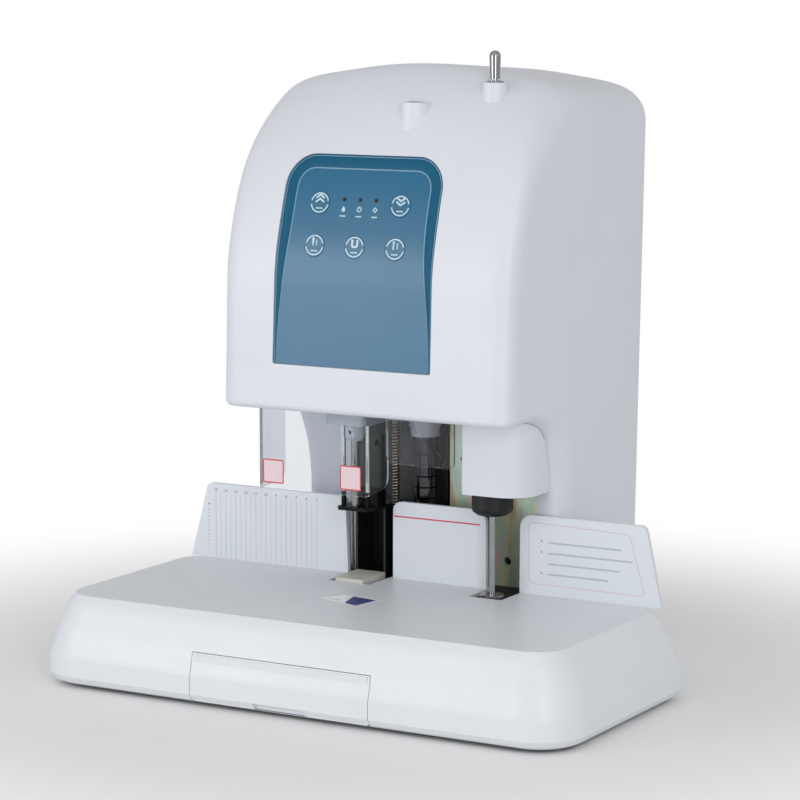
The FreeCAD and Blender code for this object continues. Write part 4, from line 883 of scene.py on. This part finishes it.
FIELD = [(-50.6, 26.4), (38.4, 24.1), (51.9, -23.9), (-50.1, -23.3)]
BULLET_X, BULLET_Y = -39.0, (12.0, 3.0, -13.8)
RULE_START, RULE_HALF = -33.0, 0.7
RULE_ENDS = ((11.0, 31.0), (2.4, 41.0), (-6.2, 30.0), (-14.6, 20.0))
field = Press("fence_right", (0.155, FENCE_Y, 0.105), FORWARD)
bullets = [band(BULLET_X, y, 0.0, 0.7, steps=10) for y in BULLET_Y]
rules = [patch(RULE_START, y - RULE_HALF, end, y + RULE_HALF, 6, 1) for y, end in RULE_ENDS]
mark("field_outline", field, [outline(FIELD, 5.0, 0.45)], pink_ink)
mark("field_bullets", field, bullets, red_ink)
mark("field_rules", field, rules, pale_grey_ink)
print("ruled lines:", len(rules))

# %% [markdown]
# ## Blank stickers
# Two square stickers on the drill guard, one on the table and one on the left boss are plain stock: a
# coloured edge or a plain block, and nothing written on them. Each could be one flat face with an image, but
# it is built up as a real one is, paper first and ink above it. A hundredth of a millimetre of air between
# the layers keeps them from lying in one plane.

# %% Stickers on the guard and the table
PAPER = {"lift": 0.00010, "thickness": 0.00008}
EDGE = {"lift": 0.00016, "thickness": 0.00005}
OVERPRINT = {"lift": 0.00022, "thickness": 0.00005}


def sticker(name, press, corners, fill, edge, edge_mm, r=1.2):
    mark(name + "_paper", press, [filled(rounded(corners, r))], fill, layer=PAPER)
    mark(name + "_edge", press, [outline(corners, r, edge_mm)], edge, layer=EDGE)


def square(x0, y0, x1, y1):
    return [(x0, y0), (x1, y0), (x1, y1), (x0, y1)]


guard = Press("drill_guard", (-0.07, -0.018, 0.165), FORWARD)
for name, corners in (("guard_sticker_left", square(-47.9, -13.6, -28.9, 5.2)),
                      ("guard_sticker_right", square(25.6, -13.4, 44.4, 5.6))):
    sticker(name, guard, corners, rose_film, red_ink, edge_mm=1.1)
table = Press("base_shell", (0.0, -0.07, 0.073), (0, 0, 1))
LABEL = [(-29.8, -1.1), (-18.5, 18.7), (17.2, 12.9), (10.9, -16.7)]
BLOCK = [(-4.6, -8.4), (-10.6, 15.4), (12.4, 11.8), (8.2, -13.0)]
RULE = [(-24.0, 1.4), (-10.4, -2.2)]
sticker("table_sticker", table, LABEL, sticker_white, sticker_white, edge_mm=0.5)
mark("table_sticker_block", table, [filled(rounded(BLOCK, 1.0))], navy_ink, layer=OVERPRINT)
mark("table_sticker_rule", table, [stroke(RULE, 1.1)], pale_grey_ink, layer=OVERPRINT)
print("sticker layers at", [round(layer["lift"] / MM, 2) for layer in (PAPER, EDGE, OVERPRINT)], "mm")

# %% Sticker on the left boss
boss_top = Press("body_shell", (0.020, -0.009, 0.4636), (0, 0, 1))
boss_label = square(-6.5, -3.2, 6.5, 3.2)
sticker("boss_sticker", boss_top, boss_label, pale_grey_ink, grey_ink, edge_mm=0.7, r=0.8)
print("sticker on the boss:", boss_label[2][0] * 2, "by", boss_label[2][1] * 2, "mm")

# %% [markdown]
# ## The return spring
# The imported spring is a plain tube. Here it is wound as a real compression spring, with close turns at both
# ends and a wider pitch between them. A screw modifier winds only an even pitch, so a formula gives the
# height of each turn instead.

# %% A wound spring
def wound(name, x, y, low, high, r, wire, turns, dead=2.0, around=14, sides=6):
    # a tube of radius wire along a helix of radius r; the dead turns at both ends lie close together
    total = turns + 2 * dead
    rise = high - low - 2 * wire
    # wire is a radius, so turns that are 2.1 of it apart nearly touch
    close = 2.1 * wire * dead
    build = bmesh.new()
    rings = []
    for k in range(int(total * around) + 1):
        turn = k / around
        if turn < dead:
            z = close * turn / dead
        elif turn > total - dead:
            z = rise - close * (total - turn) / dead
        else:
            z = close + (rise - 2 * close) * (turn - dead) / turns
        a = 2 * math.pi * turn
        out = Vector((math.cos(a), math.sin(a), 0))
        spot = Vector((x, y, low + wire + z)) + out * r
        bends = [2 * math.pi * j / sides for j in range(sides)]
        rings.append([build.verts.new(spot + out * wire * math.cos(b) + Vector((0, 0, wire * math.sin(b))))
                      for b in bends])
    for first, second in zip(rings, rings[1:]):
        for j in range(sides):
            following = (j + 1) % sides
            build.faces.new((first[j], first[following], second[following], second[j]))
    build.faces.new(rings[0][::-1])
    build.faces.new(rings[-1])
    for face in build.faces:
        face.smooth = True
    return closed_mesh(name, build)


low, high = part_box("return_spring")
spring_x, spring_y = middle("return_spring").xy
spring_mesh = wound("wound_return_spring", spring_x, spring_y, low.z, high.z,
                    r=0.0027, wire=0.0006, turns=52)
spring = add_piece("wound_return_spring", spring_mesh, spring_steel, "machine")
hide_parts("return_spring")
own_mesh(spring)
print("spring length:", round((high.z - low.z) / MM, 1), "mm")

# %% [markdown]
# ## Ribs in the rear corners of the base
# The wall of the base runs out at its two rear corners, just under the body shell. A short rib of the same
# moulding stands behind each corner, a twentieth of a millimetre under the outside. A plain upright bar
# would show its own edges there, so the rib is an arc that leans in with the corner.

# %% Two corner ribs
RIB_FOOT, RIB_TOP, RIB_LEVELS = 55.0, 70.4, 4
CORNER_X, CORNER_Y, CORNER_R = 124.5, 155.7, 12.0
# Between these two heights the corner leans in by the third number.
LEAN_FOOT, LEAN_TOP, LEAN_IN = 10.4, 73.0, 5.64
UNDER_SKIN, RIB_DEEP = 0.05, 3.0
# Degrees round the corner.
ARC = range(21, 70, 2)


def corner_rib(name, side):
    # side is 1 for the right corner and -1 for the left; all lengths in millimetres
    build = bmesh.new()
    rings = []
    arc = [(CORNER_R - UNDER_SKIN, turn) for turn in ARC]
    arc += [(CORNER_R - RIB_DEEP, turn) for turn in reversed(ARC)]
    for level in range(RIB_LEVELS + 1):
        z = RIB_FOOT + (RIB_TOP - RIB_FOOT) * level / RIB_LEVELS
        lean = LEAN_IN * (z - LEAN_FOOT) / (LEAN_TOP - LEAN_FOOT)
        rings.append([build.verts.new((side * (CORNER_X - lean + r * math.cos(math.radians(turn))) * MM,
                                       (CORNER_Y - lean + r * math.sin(math.radians(turn))) * MM, z * MM))
                      for r, turn in arc])
    for lower, upper in zip(rings, rings[1:]):
        for k in range(len(lower)):
            build.faces.new((lower[k - 1], lower[k], upper[k], upper[k - 1]))
    build.faces.new(rings[0])
    build.faces.new(rings[-1])
    add_piece(name, closed_mesh(name, build), table_abs, "machine")


corner_rib("base_rib_left", -1)
corner_rib("base_rib_right", 1)
print("ribs reach", RIB_TOP, "mm high")
